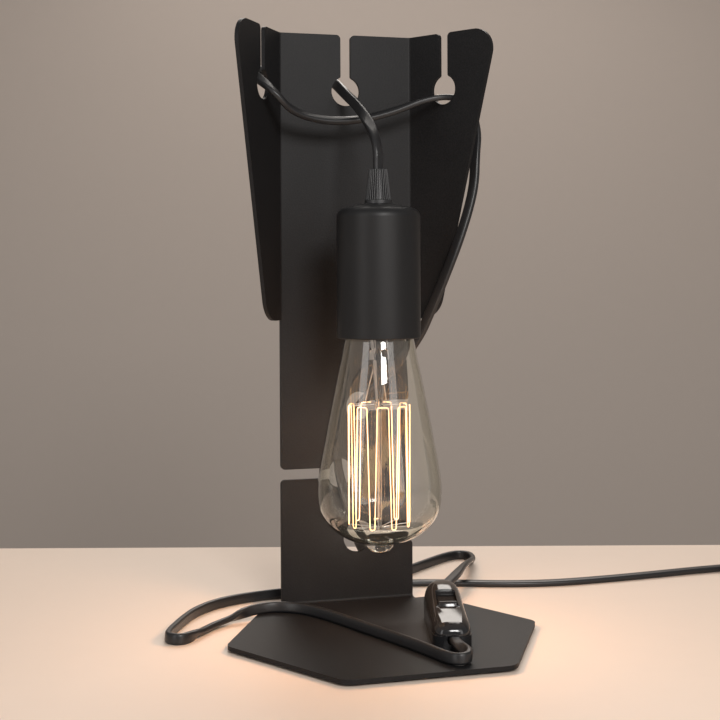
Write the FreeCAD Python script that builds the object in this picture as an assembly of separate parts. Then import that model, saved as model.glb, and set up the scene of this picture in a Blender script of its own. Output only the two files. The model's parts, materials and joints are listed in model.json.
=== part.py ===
import FreeCAD, Part
import math
import os

os.makedirs("parts", exist_ok=True)
V = FreeCAD.Vector

# Folded sheet body: thicknesses, base outline, panel, wings
PAD_T = 1.3
SHEET_T = 2.2
BEND_R = 1.5
BASE_SIDE_X = 83.5
BASE_FRONT_X = 42.3
BASE_FRONT_Y = -73.9
BASE_BACK_X = 49.7
BASE_BACK_Y = 68.8
BASE_CORNER_R = 8.0
BASE_BACK_R = 5.0
PANEL_FRONT_Y = 73.0
PANEL_HALF_W = 38.5
PANEL_TOP_Z = 323.5
WING_FOLD_X = 38.0
RIGHT_WING_ANGLE = 57.0
LEFT_WING_ANGLE = 55.4
WING_BOTTOM_Z = 162.9
WING_BOTTOM_U = 19.07
WING_TOP_U = 60.69
WING_TOP_R = 11.5
WING_BOTTOM_R = 15.0
TOP_SLOT_CORNER_R = 2.5

# Keyholes: circle, slot, blends and places
KEY_R = 8.2
SLOT_HALF = 2.9
KEY_BLEND_R = 1.2
KEY_DEPTH = 31.8
WING_KEY_U = 24.4
SIDE_KEY_X = 5.8
SIDE_KEY_TOP_Z = 113.7
SIDE_KEY_PITCH = 37.4

# Pads under the base
PAD_R = 7.0
PAD_PLACES = [(-36.0, -62.0), (36.0, -62.0), (-44.0, 55.0), (44.0, 55.0)]

# Holder: axis, cover, core and fittings
AXIS_X = -1.0
AXIS_Y = 6.6
COVER_R = 21.8
COVER_WALL = 2.0
COVER_ROOF = 3.0
COVER_RIM_Z = 155.4
COVER_TOP_Z = 225.0
COVER_SHOULDER_R = 5.0
COVER_CROWN = 3.0
GRIP_L = 18.0
GRIP_BOTTOM_R = 7.1
GRIP_TOP_R = 5.2
GRIP_COLLAR_H = 1.9
GRIP_RIBS = 30
GRIP_RIB_DEPTH = 0.7
NIPPLE_R = 4.9
NIPPLE_BORE_R = 3.3
NIPPLE_BELOW = 10.0
NIPPLE_ABOVE = 10.0
THREAD_CLEAR = 0.05
NUT_FLATS = 14.0
NUT_H = 3.5
CORE_CLEAR = 0.3
CORE_H = 14.0
CORE_BOSS_R = 8.0
CORE_SKIRT_WALL = 1.9
CORE_SKIRT_L = 26.0
SHELL_R = 13.45
SHELL_WALL = 0.4
SHELL_L = 28.0
SHELL_FLANGE_T = 0.8
SHELL_FLANGE_HOLE_R = 8.0
RIVET_R = 1.2
RIVET_HEAD_R = 2.2
RIVET_HEAD_H = 0.9
RIVET_AT = 11.0
BLOCK_W = 6.0
BLOCK_L = 7.0
BLOCK_H = 5.5
BLOCK_AT = 13.0
TERMINAL_SCREW_R = 1.5
TERMINAL_HEAD_R = 2.4
TERMINAL_HEAD_H = 1.4
CONTACT_T = 0.5
CONTACT_W = 5.0
TIP_GAP = 0.4

# Bulb: cap, glass, stem and cage of filament
BULB_TOP_Z = 191.4
CAP_R = 13.1
CAP_L = 22.5
CAP_WALL = 0.3
CAP_INSUL_H = 2.9
CAP_CONTACT_R = 4.6
CAP_CONTACT_H = 0.9
GLASS_WALL = 0.8
GLASS_LINE = [(12.45, 171.0), (12.5, 168.0), (12.65, 165.3), (13.6, 163.0), (15.2, 160.3), (16.8, 157.8),
              (18.0, 155.4), (20.2, 144.0),
              (22.5, 133.6), (24.5, 123.2), (26.6, 112.8), (28.5, 102.4), (30.5, 92.0), (31.9, 82.5),
              (32.3, 74.5), (31.3, 66.5), (28.1, 60.3), (23.3, 55.4), (17.3, 51.6), (12.0, 49.8), (7.6, 48.7)]
GLASS_TIP_Z = 43.4
STEM_R = 3.2
STEM_COLLAR_R = 5.2
STEM_COLLAR_Z = 144.0
STEM_HUB_Z = 121.8
CAGE_R = 16.1
CAGE_TOP_Z = 120.6
CAGE_BOTTOM_Z = 58.2
CAGE_STRANDS = 18
FILAMENT_R = 0.18
SUPPORT_R = 0.22
LEAD_R = 0.35
HUB_R = 2.4

# Flat two-core cord, as a round tube of the same section
CORD_R = 2.3
CORD_BORE_CLEAR = 0.05
CORD_TAIL_BELOW = 6.0
SWING_GAP = 0.3
SWING_SPACE = 1.4

# Switch on the cord: place, case, rocker and insides
SW_X = 31.3
SW_Y = -5.3
SW_ANGLE = math.degrees(math.atan2(-0.25, 0.968))
SW_L = 72.0
SW_W = 19.6
SW_SPLIT = 6.5
SW_END_R = 9.2
SW_WALL = 2.4
SW_FLOOR = 1.6
SW_CAVITY_L = 48.0
SW_NEAR_TOP = 11.0
SW_RAMP_TOP = 15.0
SW_REAR_TOP = 21.0
SW_CROWN_W = 13.4
SW_NEAR_CORD_Z = 4.8
SW_FAR_CORD_Z = 8.0
SW_CORD_IN = 16.0
SW_BORE_CLEAR = 0.5
ROCKER_Y = -0.5
ROCKER_Z = 12.0
ROCKER_R = 9.3
ROCKER_W = 9.6
ROCKER_CLEAR = 0.4
ROCKER_TILT = 10.0
ROCKER_PIN_R = 1.2
ROCKER_PIN_CLEAR = 0.06
CASE_SCREW_R = 1.4
CASE_HEAD_R = 2.4
CASE_HEAD_H = 1.5
CASE_SCREW_X = 5.7
CASE_SCREW_Y = 29.0
SW_BLOCK_L = 6.0
SW_BLOCK_W = 4.4
SW_BLOCK_H = 4.6
SW_BLOCK_Y = 14.5
SW_BLOCK_X = 4.7
CLAMP_L = 12.4
CLAMP_W = 3.0
CLAMP_T = 1.4

# Plug with two round pins
PLUG_W = 35.3
PLUG_T = 14.4
PLUG_L = 34.0
PLUG_NECK_W = 12.0
PIN_R = 2.0
PIN_L = 19.0
PIN_PITCH = 18.6
PIN_SLEEVE_R = 1.7
PIN_SLEEVE_L = 10.0
PIN_CORE_R = 1.2
PIN_ROOT = 8.0
PIN_CHAMFER = 0.8
RELIEF_L = 22.0
RELIEF_BIG_R = 5.0
RELIEF_SMALL_R = 3.2

# Put-away coil
COIL_R = 28.5
COIL_STEP = 6.6
COIL_LAYER = 5.1
COIL_TURNS = 2.25
COIL_SHIFT = 2.0
COIL_CLIMB = 150.0
COIL_FLARE = 8.0

# Levels that follow from the sizes above
BASE_TOP = PAD_T + SHEET_T
PANEL_BACK_Y = PANEL_FRONT_Y + SHEET_T
ROOF_Z = COVER_TOP_Z - COVER_ROOF
GRIP_TOP_Z = COVER_TOP_Z + GRIP_L
NUT_Z = ROOF_Z - NUT_H
NIPPLE_Z = ROOF_Z - NIPPLE_BELOW
CORE_TOP = NIPPLE_Z
CORE_Z = CORE_TOP - CORE_H
SHELL_Z = CORE_Z - SHELL_FLANGE_T
CORD_BORE_R = CORD_R + CORD_BORE_CLEAR
PIVOT_LOW = GRIP_TOP_Z + SWING_GAP + CORD_R
PIVOT_HIGH = PIVOT_LOW + SWING_SPACE
HANG_TOP = PIVOT_HIGH + CORD_R + SWING_GAP
FLOOR_CORD = CORD_R


def arc_corner(before, corner, after, radius):
    """Tangent points and middle of the arc that rounds one corner."""
    d1 = (before - corner).normalize()
    d2 = (after - corner).normalize()
    half = d1.getAngle(d2) / 2
    set_back = radius / math.tan(half)
    centre = corner + (d1 + d2).normalize() * (radius / math.sin(half))
    middle = centre + (corner - centre).normalize() * radius
    return corner + d1 * set_back, middle, corner + d2 * set_back


def outline(points):
    """Closed wire through (a, b, radius) corners, in the XY plane."""
    corners = [V(p[0], p[1], 0) for p in points]
    count = len(points)
    ends = []
    for i in range(count):
        if points[i][2] > 0:
            ends.append(arc_corner(corners[i - 1], corners[i], corners[(i + 1) % count], points[i][2]))
        else:
            ends.append((corners[i], None, corners[i]))
    edges = []
    for i in range(count):
        if ends[i][1] is not None:
            edges.append(Part.Arc(ends[i][0], ends[i][1], ends[i][2]).toShape())
        start = ends[i][2]
        stop = ends[(i + 1) % count][0]
        if start.distanceToPoint(stop) > 1e-6:
            edges.append(Part.LineSegment(start, stop).toShape())
    return Part.Wire(edges)


def slab(points, thickness, level=0.0):
    """Plate of the outline's shape, from the level up."""
    face = Part.Face(outline(points))
    face.translate(V(0, 0, level))
    return face.extrude(V(0, 0, thickness))


def placed(shape, origin, x_axis, y_axis):
    """The shape, moved so that its X and Y run along the two given axes."""
    z_axis = x_axis.cross(y_axis)
    m = FreeCAD.Matrix(x_axis.x, y_axis.x, z_axis.x, origin.x, x_axis.y, y_axis.y, z_axis.y, origin.y,
                       x_axis.z, y_axis.z, z_axis.z, origin.z, 0, 0, 0, 1)
    out = shape.copy()
    out.Placement = FreeCAD.Placement(m)
    return out


def cylinder(radius, bottom, top, x=AXIS_X, y=AXIS_Y):
    return Part.makeCylinder(radius, top - bottom, V(x, y, bottom))


def ring(outer, inner, bottom, top, x=AXIS_X, y=AXIS_Y):
    return cylinder(outer, bottom, top, x, y).cut(cylinder(inner, bottom - 1, top + 1, x, y))


def turned(points):
    """Solid of revolution about the holder's axis from (r, z, radius) corners."""
    face = Part.Face(outline(points))
    standing = placed(face, V(AXIS_X, AXIS_Y, 0), V(1, 0, 0), V(0, 0, 1))
    return standing.revolve(V(AXIS_X, AXIS_Y, 0), V(0, 0, 1), 360)


def box(x0, x1, y0, y1, z0, z1):
    return Part.makeBox(x1 - x0, y1 - y0, z1 - z0, V(x0, y0, z0))


def rod(start, end, radius):
    return Part.makeCylinder(radius, start.distanceToPoint(end), start, end - start)


def save(name, shape):
    if not shape.isValid():
        print("NOT VALID", name)
    solids = shape.Solids
    shape = solids[0] if len(solids) == 1 else Part.makeCompound(solids)
    shape.exportStep("parts/" + name + ".step")
    print(name, len(solids), round(shape.Volume, 1))


# Folded body
def keyhole(depth, mouth_r=TOP_SLOT_CORNER_R):
    """Cutter for a round hole at the origin with a slot that opens at Y = depth."""
    blend_y = math.sqrt((KEY_R + KEY_BLEND_R) ** 2 - (SLOT_HALF + KEY_BLEND_R) ** 2)
    centre = V(SLOT_HALF + KEY_BLEND_R, blend_y, 0)
    on_circle = centre * (KEY_R / (KEY_R + KEY_BLEND_R))
    on_slot = V(SLOT_HALF, blend_y, 0)
    turn = ((on_circle - centre).normalize() + (on_slot - centre).normalize()).normalize()
    blend_mid = centre + turn * KEY_BLEND_R
    mouth = V(SLOT_HALF + mouth_r, depth - mouth_r, 0)
    mouth_mid = mouth + V(-math.sqrt(0.5), math.sqrt(0.5), 0) * mouth_r
    right = [(on_slot, V(SLOT_HALF, depth - mouth_r, 0)), (V(mouth.x, depth, 0), V(mouth.x, depth + 3, 0))]
    edges = [Part.Arc(on_circle, blend_mid, on_slot).toShape(),
             Part.LineSegment(right[0][0], right[0][1]).toShape(),
             Part.Arc(right[0][1], mouth_mid, right[1][0]).toShape(),
             Part.LineSegment(right[1][0], right[1][1]).toShape()]
    other = [e.mirror(V(0, 0, 0), V(1, 0, 0)) for e in edges]
    lid = Part.LineSegment(right[1][1], V(-mouth.x, depth + 3, 0)).toShape()
    round_hole = Part.Arc(on_circle, V(0, -KEY_R, 0), V(-on_circle.x, on_circle.y, 0)).toShape()
    wire = Part.Wire(Part.__sortEdges__(edges + other + [lid, round_hole]))
    face = Part.Face(wire)
    face.translate(V(0, 0, -2 * SHEET_T))
    return face.extrude(V(0, 0, 5 * SHEET_T))


def fold_set_back(angle):
    """How far a fold's arc reaches along the sheet's inner face."""
    return BEND_R * math.tan(math.radians(angle) / 2)


bend_y = PANEL_FRONT_Y - BEND_R
bend_z = BASE_TOP + BEND_R

base = slab([(BASE_SIDE_X, 0, BASE_CORNER_R), (BASE_BACK_X, BASE_BACK_Y, BASE_BACK_R),
             (-BASE_BACK_X, BASE_BACK_Y, BASE_BACK_R), (-BASE_SIDE_X, 0, BASE_CORNER_R),
             (-BASE_FRONT_X, BASE_FRONT_Y, BASE_CORNER_R), (BASE_FRONT_X, BASE_FRONT_Y, BASE_CORNER_R)],
            SHEET_T, PAD_T)
base = base.fuse(box(-PANEL_HALF_W, PANEL_HALF_W, BASE_BACK_Y - 10, bend_y, PAD_T, BASE_TOP))
outer_r = BEND_R + SHEET_T
foot_bend = Part.makeCylinder(outer_r, 2 * PANEL_HALF_W, V(-PANEL_HALF_W, bend_y, bend_z), V(1, 0, 0))
foot_bend = foot_bend.cut(Part.makeCylinder(BEND_R, 2 * PANEL_HALF_W + 2, V(-PANEL_HALF_W - 1, bend_y, bend_z),
                                            V(1, 0, 0)))
foot_bend = foot_bend.common(box(-PANEL_HALF_W, PANEL_HALF_W, bend_y, bend_y + outer_r, bend_z - outer_r, bend_z))

flat_right = WING_FOLD_X - fold_set_back(RIGHT_WING_ANGLE)
flat_left = WING_FOLD_X - fold_set_back(LEFT_WING_ANGLE)
panel = slab([(-PANEL_HALF_W, bend_z, 0), (PANEL_HALF_W, bend_z, 0), (PANEL_HALF_W, WING_BOTTOM_Z, 0),
              (flat_right, WING_BOTTOM_Z, 0), (flat_right, PANEL_TOP_Z, 0), (-flat_left, PANEL_TOP_Z, 0),
              (-flat_left, WING_BOTTOM_Z, 0), (-PANEL_HALF_W, WING_BOTTOM_Z, 0)], SHEET_T)
panel_x = V(1, 0, 0)
panel_up = V(0, 0, 1)
panel = placed(panel, V(0, PANEL_BACK_Y, 0), panel_x, panel_up)
top_key = placed(keyhole(KEY_DEPTH), V(0, PANEL_BACK_Y, PANEL_TOP_Z - KEY_DEPTH), panel_x, panel_up)
panel = panel.cut(top_key)
for number in range(3):
    side = -1 if number == 1 else 1
    centre = V(side * SIDE_KEY_X, PANEL_BACK_Y, SIDE_KEY_TOP_Z - number * SIDE_KEY_PITCH)
    reach = PANEL_HALF_W - SIDE_KEY_X
    panel = panel.cut(placed(keyhole(reach), centre, V(0, 0, -side), V(side, 0, 0)))


def folded_wing(angle):
    """The right-hand wing with its keyhole and the bend that joins it to the panel."""
    fold = math.radians(angle)
    out = V(math.cos(fold), -math.sin(fold), 0)
    normal = V(math.sin(fold), math.cos(fold), 0)
    inner = fold_set_back(angle)
    wing = slab([(inner, WING_BOTTOM_Z, 0), (WING_BOTTOM_U, WING_BOTTOM_Z, WING_BOTTOM_R),
                 (WING_TOP_U, PANEL_TOP_Z, WING_TOP_R), (inner, PANEL_TOP_Z, 0)], SHEET_T)
    key = keyhole(KEY_DEPTH)
    key.translate(V(WING_KEY_U, PANEL_TOP_Z - KEY_DEPTH, 0))
    wing = placed(wing.cut(key), V(WING_FOLD_X, PANEL_FRONT_Y, 0) + normal * SHEET_T, out, panel_up)
    height = PANEL_TOP_Z - WING_BOTTOM_Z
    bend_at = V(WING_FOLD_X - inner, bend_y, WING_BOTTOM_Z)
    bend = Part.makeCylinder(BEND_R + SHEET_T, height, bend_at, V(0, 0, 1), angle)
    bend = bend.cut(Part.makeCylinder(BEND_R, height + 2, bend_at - V(0, 0, 1)))
    bend.rotate(bend_at, V(0, 0, 1), 90 - angle)
    return wing.fuse(bend)


right_wing = folded_wing(RIGHT_WING_ANGLE)
left_wing = folded_wing(LEFT_WING_ANGLE).mirror(V(0, 0, 0), V(1, 0, 0))
body = base.fuse([foot_bend, panel, right_wing, left_wing]).removeSplitter()
save("folded_body", body)

pads = [cylinder(PAD_R, 0, PAD_T, x, y) for x, y in PAD_PLACES]
save("base_pads", Part.makeCompound(pads))

# Holder
crown_r = GRIP_BOTTOM_R + 1.5
cover = turned([(COVER_R - COVER_WALL, COVER_RIM_Z, 0), (COVER_R, COVER_RIM_Z, 0.6),
                (COVER_R, COVER_TOP_Z - COVER_CROWN, COVER_SHOULDER_R), (crown_r, COVER_TOP_Z, 0),
                (NIPPLE_R + THREAD_CLEAR, COVER_TOP_Z, 0), (NIPPLE_R + THREAD_CLEAR, ROOF_Z, 0),
                (crown_r, ROOF_Z, 0),
                (COVER_R - COVER_WALL, ROOF_Z - COVER_CROWN, COVER_SHOULDER_R - COVER_WALL)])
save("holder_cover", cover)

grip_full = Part.makeCone(GRIP_BOTTOM_R, GRIP_TOP_R, GRIP_L, V(AXIS_X, AXIS_Y, COVER_TOP_Z))
grip = Part.makeCone(GRIP_BOTTOM_R - GRIP_RIB_DEPTH, GRIP_TOP_R - GRIP_RIB_DEPTH, GRIP_L,
                     V(AXIS_X, AXIS_Y, COVER_TOP_Z))
rib_w = math.pi * GRIP_TOP_R / GRIP_RIBS
rib_blanks = []
for number in range(GRIP_RIBS):
    blank = box(GRIP_TOP_R - 2 * GRIP_RIB_DEPTH, GRIP_BOTTOM_R + 1, -rib_w / 2, rib_w / 2, COVER_TOP_Z, GRIP_TOP_Z)
    blank.rotate(V(0, 0, 0), V(0, 0, 1), 360.0 * number / GRIP_RIBS)
    blank.translate(V(AXIS_X, AXIS_Y, 0))
    rib_blanks.append(blank.common(grip_full))
grip = grip.fuse(rib_blanks)
collar = cylinder(GRIP_BOTTOM_R, COVER_TOP_Z, COVER_TOP_Z + GRIP_COLLAR_H)
grip = grip.fuse(collar)
grip = grip.cut(cylinder(CORD_BORE_R, COVER_TOP_Z - 1, GRIP_TOP_Z + 1))
nipple_top = COVER_TOP_Z + NIPPLE_ABOVE
grip = grip.cut(cylinder(NIPPLE_R + THREAD_CLEAR, COVER_TOP_Z - 1, nipple_top + THREAD_CLEAR))
save("cord_grip", grip.removeSplitter())

save("threaded_nipple", ring(NIPPLE_R, NIPPLE_BORE_R, NIPPLE_Z, nipple_top))

nut_corner = NUT_FLATS / 2 / math.cos(math.pi / 6)
hexagon = [(nut_corner * math.cos(math.pi * k / 3), nut_corner * math.sin(math.pi * k / 3), 0) for k in range(6)]
nut = slab(hexagon, NUT_H, NUT_Z)
nut.translate(V(AXIS_X, AXIS_Y, 0))
save("lock_nut", nut.cut(cylinder(NIPPLE_R + THREAD_CLEAR, NUT_Z - 1, ROOF_Z + 1)))

core_r = COVER_R - COVER_WALL - CORE_CLEAR
core = cylinder(core_r, CORE_Z, CORE_TOP).fuse(cylinder(CORE_BOSS_R, CORE_TOP, NUT_Z))
skirt_r = SHELL_R + SHELL_WALL + CORE_CLEAR
core = core.fuse(ring(skirt_r + CORE_SKIRT_WALL, skirt_r, CORE_Z - CORE_SKIRT_L, CORE_Z + 1))
core = core.cut(ring(skirt_r, 0.01, CORE_Z - CORE_SKIRT_L - 1, CORE_Z))
core = core.cut(cylinder(NIPPLE_R + THREAD_CLEAR, CORE_TOP, NUT_Z + 1))
tail_z = NIPPLE_Z - CORD_TAIL_BELOW
core = core.cut(cylinder(NIPPLE_BORE_R, tail_z, CORE_TOP + 1))
rivet_places = [(AXIS_X, AXIS_Y + RIVET_AT), (AXIS_X, AXIS_Y - RIVET_AT)]
for x, y in rivet_places:
    core = core.cut(cylinder(RIVET_R + THREAD_CLEAR, CORE_Z - 1, CORE_TOP + 1, x, y))
block_places = [(AXIS_X + BLOCK_AT, AXIS_Y), (AXIS_X - BLOCK_AT, AXIS_Y)]
for x, y in block_places:
    core = core.cut(cylinder(TERMINAL_SCREW_R + THREAD_CLEAR, CORE_TOP - 6, CORE_TOP + 1, x, y))
save("holder_core", core.removeSplitter())

shell = ring(SHELL_R + SHELL_WALL, SHELL_R, CORE_Z - SHELL_L - SHELL_FLANGE_T, SHELL_Z + 0.1)
shell = shell.fuse(ring(SHELL_R + SHELL_WALL, SHELL_FLANGE_HOLE_R, SHELL_Z, CORE_Z))
for x, y in rivet_places:
    shell = shell.cut(cylinder(RIVET_R + THREAD_CLEAR, SHELL_Z - 1, CORE_Z + 1, x, y))
save("screw_shell", shell.removeSplitter())

rivets = []
for x, y in rivet_places:
    rivet = cylinder(RIVET_R, SHELL_Z - RIVET_HEAD_H, CORE_TOP + RIVET_HEAD_H, x, y)
    rivet = rivet.fuse(cylinder(RIVET_HEAD_R, SHELL_Z - RIVET_HEAD_H, SHELL_Z, x, y))
    rivets.append(rivet.fuse(cylinder(RIVET_HEAD_R, CORE_TOP, CORE_TOP + RIVET_HEAD_H, x, y)).removeSplitter())
save("shell_rivets", Part.makeCompound(rivets))

blocks = []
screws = []
for x, y in block_places:
    block = box(x - BLOCK_W / 2, x + BLOCK_W / 2, y - BLOCK_L / 2, y + BLOCK_L / 2, CORE_TOP, CORE_TOP + BLOCK_H)
    blocks.append(block.cut(cylinder(TERMINAL_SCREW_R + THREAD_CLEAR, CORE_TOP - 1, CORE_TOP + BLOCK_H + 1, x, y)))
    head_z = CORE_TOP + BLOCK_H
    screw = cylinder(TERMINAL_SCREW_R, CORE_TOP - 5, head_z, x, y)
    screw = screw.fuse(cylinder(TERMINAL_HEAD_R, head_z, head_z + TERMINAL_HEAD_H, x, y))
    slot = box(x - TERMINAL_HEAD_R, x + TERMINAL_HEAD_R, y - 0.35, y + 0.35, head_z + 0.7, head_z + 2)
    screws.append(screw.cut(slot).removeSplitter())
save("terminal_blocks", Part.makeCompound(blocks))
save("terminal_screws", Part.makeCompound(screws))

# The spring strip that meets the bulb's centre contact
strip_top = CORE_Z
strip_low = BULB_TOP_Z + TIP_GAP
strip = slab([(-4.5, strip_top, 0), (5.0, strip_top, 0.9), (5.0, strip_low, 0.9), (-3.5, strip_low, 0),
              (-3.5, strip_low + CONTACT_T, 0), (5.0 - CONTACT_T, strip_low + CONTACT_T, 0.4),
              (5.0 - CONTACT_T, strip_top - CONTACT_T, 0.4), (-4.5, strip_top - CONTACT_T, 0)], CONTACT_W)
strip_at = V(AXIS_X, AXIS_Y + CONTACT_W / 2, 0)
save("centre_contact", placed(strip, strip_at, V(1, 0, 0), V(0, 0, 1)))

save("cord_tail", cylinder(CORD_R, tail_z, GRIP_TOP_Z))

# The short moving length of cord above the grip: two balls and the barrel between
hang = Part.makeSphere(CORD_R, V(AXIS_X, AXIS_Y, PIVOT_LOW))
hang = hang.fuse([cylinder(CORD_R, PIVOT_LOW, PIVOT_HIGH), Part.makeSphere(CORD_R, V(AXIS_X, AXIS_Y, PIVOT_HIGH))])
save("cord_pivot", hang.removeSplitter())

# Bulb
cap_z = BULB_TOP_Z - CAP_CONTACT_H - CAP_INSUL_H - CAP_L
shell_top = cap_z + CAP_L
cap = turned([(CAP_R - CAP_WALL, cap_z, 0), (CAP_R, cap_z, 0), (CAP_R, shell_top - 3, 0), (8.0, shell_top, 0),
              (7.0, shell_top, 0), (7.0, shell_top - CAP_WALL, 0), (8.0 - CAP_WALL, shell_top - CAP_WALL, 0),
              (CAP_R - CAP_WALL, shell_top - 3 - CAP_WALL, 0)])
save("bulb_cap", cap)
insul_top = shell_top + CAP_INSUL_H
insul = Part.makeCone(7.0, CAP_CONTACT_R, CAP_INSUL_H, V(AXIS_X, AXIS_Y, shell_top))
insul = insul.fuse(cylinder(6.9, shell_top - 2, shell_top))
save("bulb_cap_insulator", insul.removeSplitter())
contact_z = insul_top + THREAD_CLEAR
save("bulb_contact", cylinder(CAP_CONTACT_R, contact_z, contact_z + CAP_CONTACT_H - THREAD_CLEAR))


def offset_line(line, distance):
    """The glass line moved inwards by the wall."""
    moved = []
    for i in range(len(line)):
        a = line[max(i - 1, 0)]
        b = line[min(i + 1, len(line) - 1)]
        length = math.hypot(b[0] - a[0], b[1] - a[1])
        nx = (b[1] - a[1]) / length
        nz = -(b[0] - a[0]) / length
        moved.append((line[i][0] + nx * distance, line[i][1] + nz * distance))
    return moved


def standing_curve(line):
    curve = Part.BSplineCurve()
    curve.interpolate([V(AXIS_X + r, AXIS_Y, z) for r, z in line])
    return curve.toShape()


outer_line = GLASS_LINE
inner_line = offset_line(GLASS_LINE, GLASS_WALL)
tip_start = V(AXIS_X + outer_line[-1][0], AXIS_Y, outer_line[-1][1])
tip_end = V(AXIS_X, AXIS_Y, GLASS_TIP_Z)
# the sealed tip is a ball end that starts where the line stops
tip_r0 = outer_line[-1][0]
tip_z0 = outer_line[-1][1]
tip_ball_z = (tip_r0 ** 2 + tip_z0 ** 2 - GLASS_TIP_Z ** 2) / (2 * (tip_z0 - GLASS_TIP_Z))
tip_ball_r = tip_ball_z - GLASS_TIP_Z
tip_half = math.atan2(tip_r0, tip_ball_z - tip_z0) / 2
tip_mid = V(AXIS_X + tip_ball_r * math.sin(tip_half), AXIS_Y, tip_ball_z - tip_ball_r * math.cos(tip_half))
inner_end = V(AXIS_X + inner_line[-1][0], AXIS_Y, inner_line[-1][1])
inner_floor = V(AXIS_X, AXIS_Y, inner_line[-1][1])
neck_out = V(AXIS_X + outer_line[0][0], AXIS_Y, outer_line[0][1])
neck_in = V(AXIS_X + inner_line[0][0], AXIS_Y, inner_line[0][1])
glass_edges = [standing_curve(outer_line), Part.Arc(tip_start, tip_mid, tip_end).toShape(),
               Part.LineSegment(tip_end, inner_floor).toShape(), Part.LineSegment(inner_floor, inner_end).toShape(),
               standing_curve(inner_line), Part.LineSegment(neck_in, neck_out).toShape()]
glass = Part.Face(Part.Wire(Part.__sortEdges__(glass_edges)))
glass = glass.revolve(V(AXIS_X, AXIS_Y, 0), V(0, 0, 1), 360)
save("bulb_glass", glass)

stem_top = GLASS_LINE[1][1]
flare_r = inner_line[1][0] - 0.25
hub_low = CAGE_BOTTOM_Z - 2.4
stem = turned([(0, hub_low, 0), (1.1, hub_low, 0), (1.1, STEM_HUB_Z - 2, 0), (HUB_R, STEM_HUB_Z - 2, 0),
               (HUB_R, STEM_HUB_Z, 0), (STEM_R * 0.6, STEM_HUB_Z + 1.5, 0), (STEM_R, STEM_COLLAR_Z - 6, 2.0),
               (STEM_R, STEM_COLLAR_Z, 0), (STEM_COLLAR_R, STEM_COLLAR_Z, 0),
               (STEM_COLLAR_R, STEM_COLLAR_Z + 3.6, 0), (STEM_R + 1.2, STEM_COLLAR_Z + 6, 2.0),
               (STEM_R + 1.6, stem_top - 6, 3.0), (flare_r, stem_top - 1, 0), (flare_r, stem_top, 0),
               (0, stem_top, 0)])
save("bulb_stem", stem)

# Zigzag filament between hooks, with a support wire to each hook
cage_turn = 340.0
hook_step = cage_turn / (CAGE_STRANDS - 1)


def cage_point(index, level, radius=CAGE_R):
    angle = math.radians(100 + index * hook_step)
    return V(AXIS_X + radius * math.cos(angle), AXIS_Y + radius * math.sin(angle), level)


strands = []
hooks = []
for index in range(CAGE_STRANDS):
    low = cage_point(index, CAGE_BOTTOM_Z if index % 2 else CAGE_TOP_Z)
    hooks.append(low)
for index in range(CAGE_STRANDS - 1):
    strands.append(rod(hooks[index], hooks[index + 1], FILAMENT_R))
knots = [Part.makeSphere(FILAMENT_R * 1.7, p) for p in hooks]
filament = strands[0].fuse(strands[1:] + knots)
save("filament", filament.removeSplitter())

hub_top_z = STEM_HUB_Z - 1
hub_bottom_z = CAGE_BOTTOM_Z - 1.2
support_end = CAGE_R - FILAMENT_R * 1.7 - SUPPORT_R
supports = []
for index in range(CAGE_STRANDS):
    at_top = index % 2 == 0
    level = hub_top_z if at_top else hub_bottom_z
    start = cage_point(index, level, (HUB_R if at_top else 1.1) + THREAD_CLEAR)
    supports.append(rod(start, cage_point(index, hooks[index].z, support_end), SUPPORT_R))
save("filament_supports", Part.makeCompound(supports))

leads = []
for index in (0, CAGE_STRANDS - 2):
    foot = cage_point(index, STEM_COLLAR_Z - 1.5, STEM_R + 1.0)
    knee = cage_point(index, STEM_COLLAR_Z - 9, 9.0)
    hand = cage_point(index, CAGE_TOP_Z + 1.2, CAGE_R)
    lead = rod(foot, knee, LEAD_R).fuse([rod(knee, hand, LEAD_R), Part.makeSphere(LEAD_R * 1.15, knee)])
    leads.append(lead.removeSplitter())
save("lead_wires", Part.makeCompound(leads))


# Cord tubes: straight runs joined by tangent arcs
def tube(name, points, radius):
    pts = [V(*p) for p in points]
    count = len(pts)
    runs = [pts[i].distanceToPoint(pts[i + 1]) for i in range(count - 1)]
    edges = []
    here = pts[0]
    radii = []
    for i in range(1, count - 1):
        before = runs[i - 1] * (2 if i == 1 else 1)
        after = runs[i] * (2 if i == count - 2 else 1)
        set_back = 0.45 * min(before, after)
        d1 = (pts[i - 1] - pts[i]).normalize()
        d2 = (pts[i + 1] - pts[i]).normalize()
        half = d1.getAngle(d2) / 2
        r = set_back * math.tan(half)
        radii.append(round(r, 1))
        a, middle, b = arc_corner(pts[i - 1], pts[i], pts[i + 1], r)
        edges.append(Part.LineSegment(here, a).toShape())
        edges.append(Part.Arc(a, middle, b).toShape())
        here = b
    edges.append(Part.LineSegment(here, pts[-1]).toShape())
    wire = Part.Wire(edges)
    ring_edge = Part.makeCircle(radius, pts[0], pts[1] - pts[0])
    solid = wire.makePipeShell([Part.Wire(ring_edge)], True, False)
    expected = math.pi * radius ** 2 * wire.Length
    print(name, "length", round(wire.Length, 1), "volume share", round(solid.Volume / expected, 4))
    print(name, "least radius", min(radii), "radii", radii)
    return solid


sw_dir = V(-math.sin(math.radians(SW_ANGLE)), math.cos(math.radians(SW_ANGLE)), 0)


def on_switch(along, height):
    p = V(SW_X, SW_Y, BASE_TOP + height) + sw_dir * along
    return (p.x, p.y, p.z)


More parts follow.
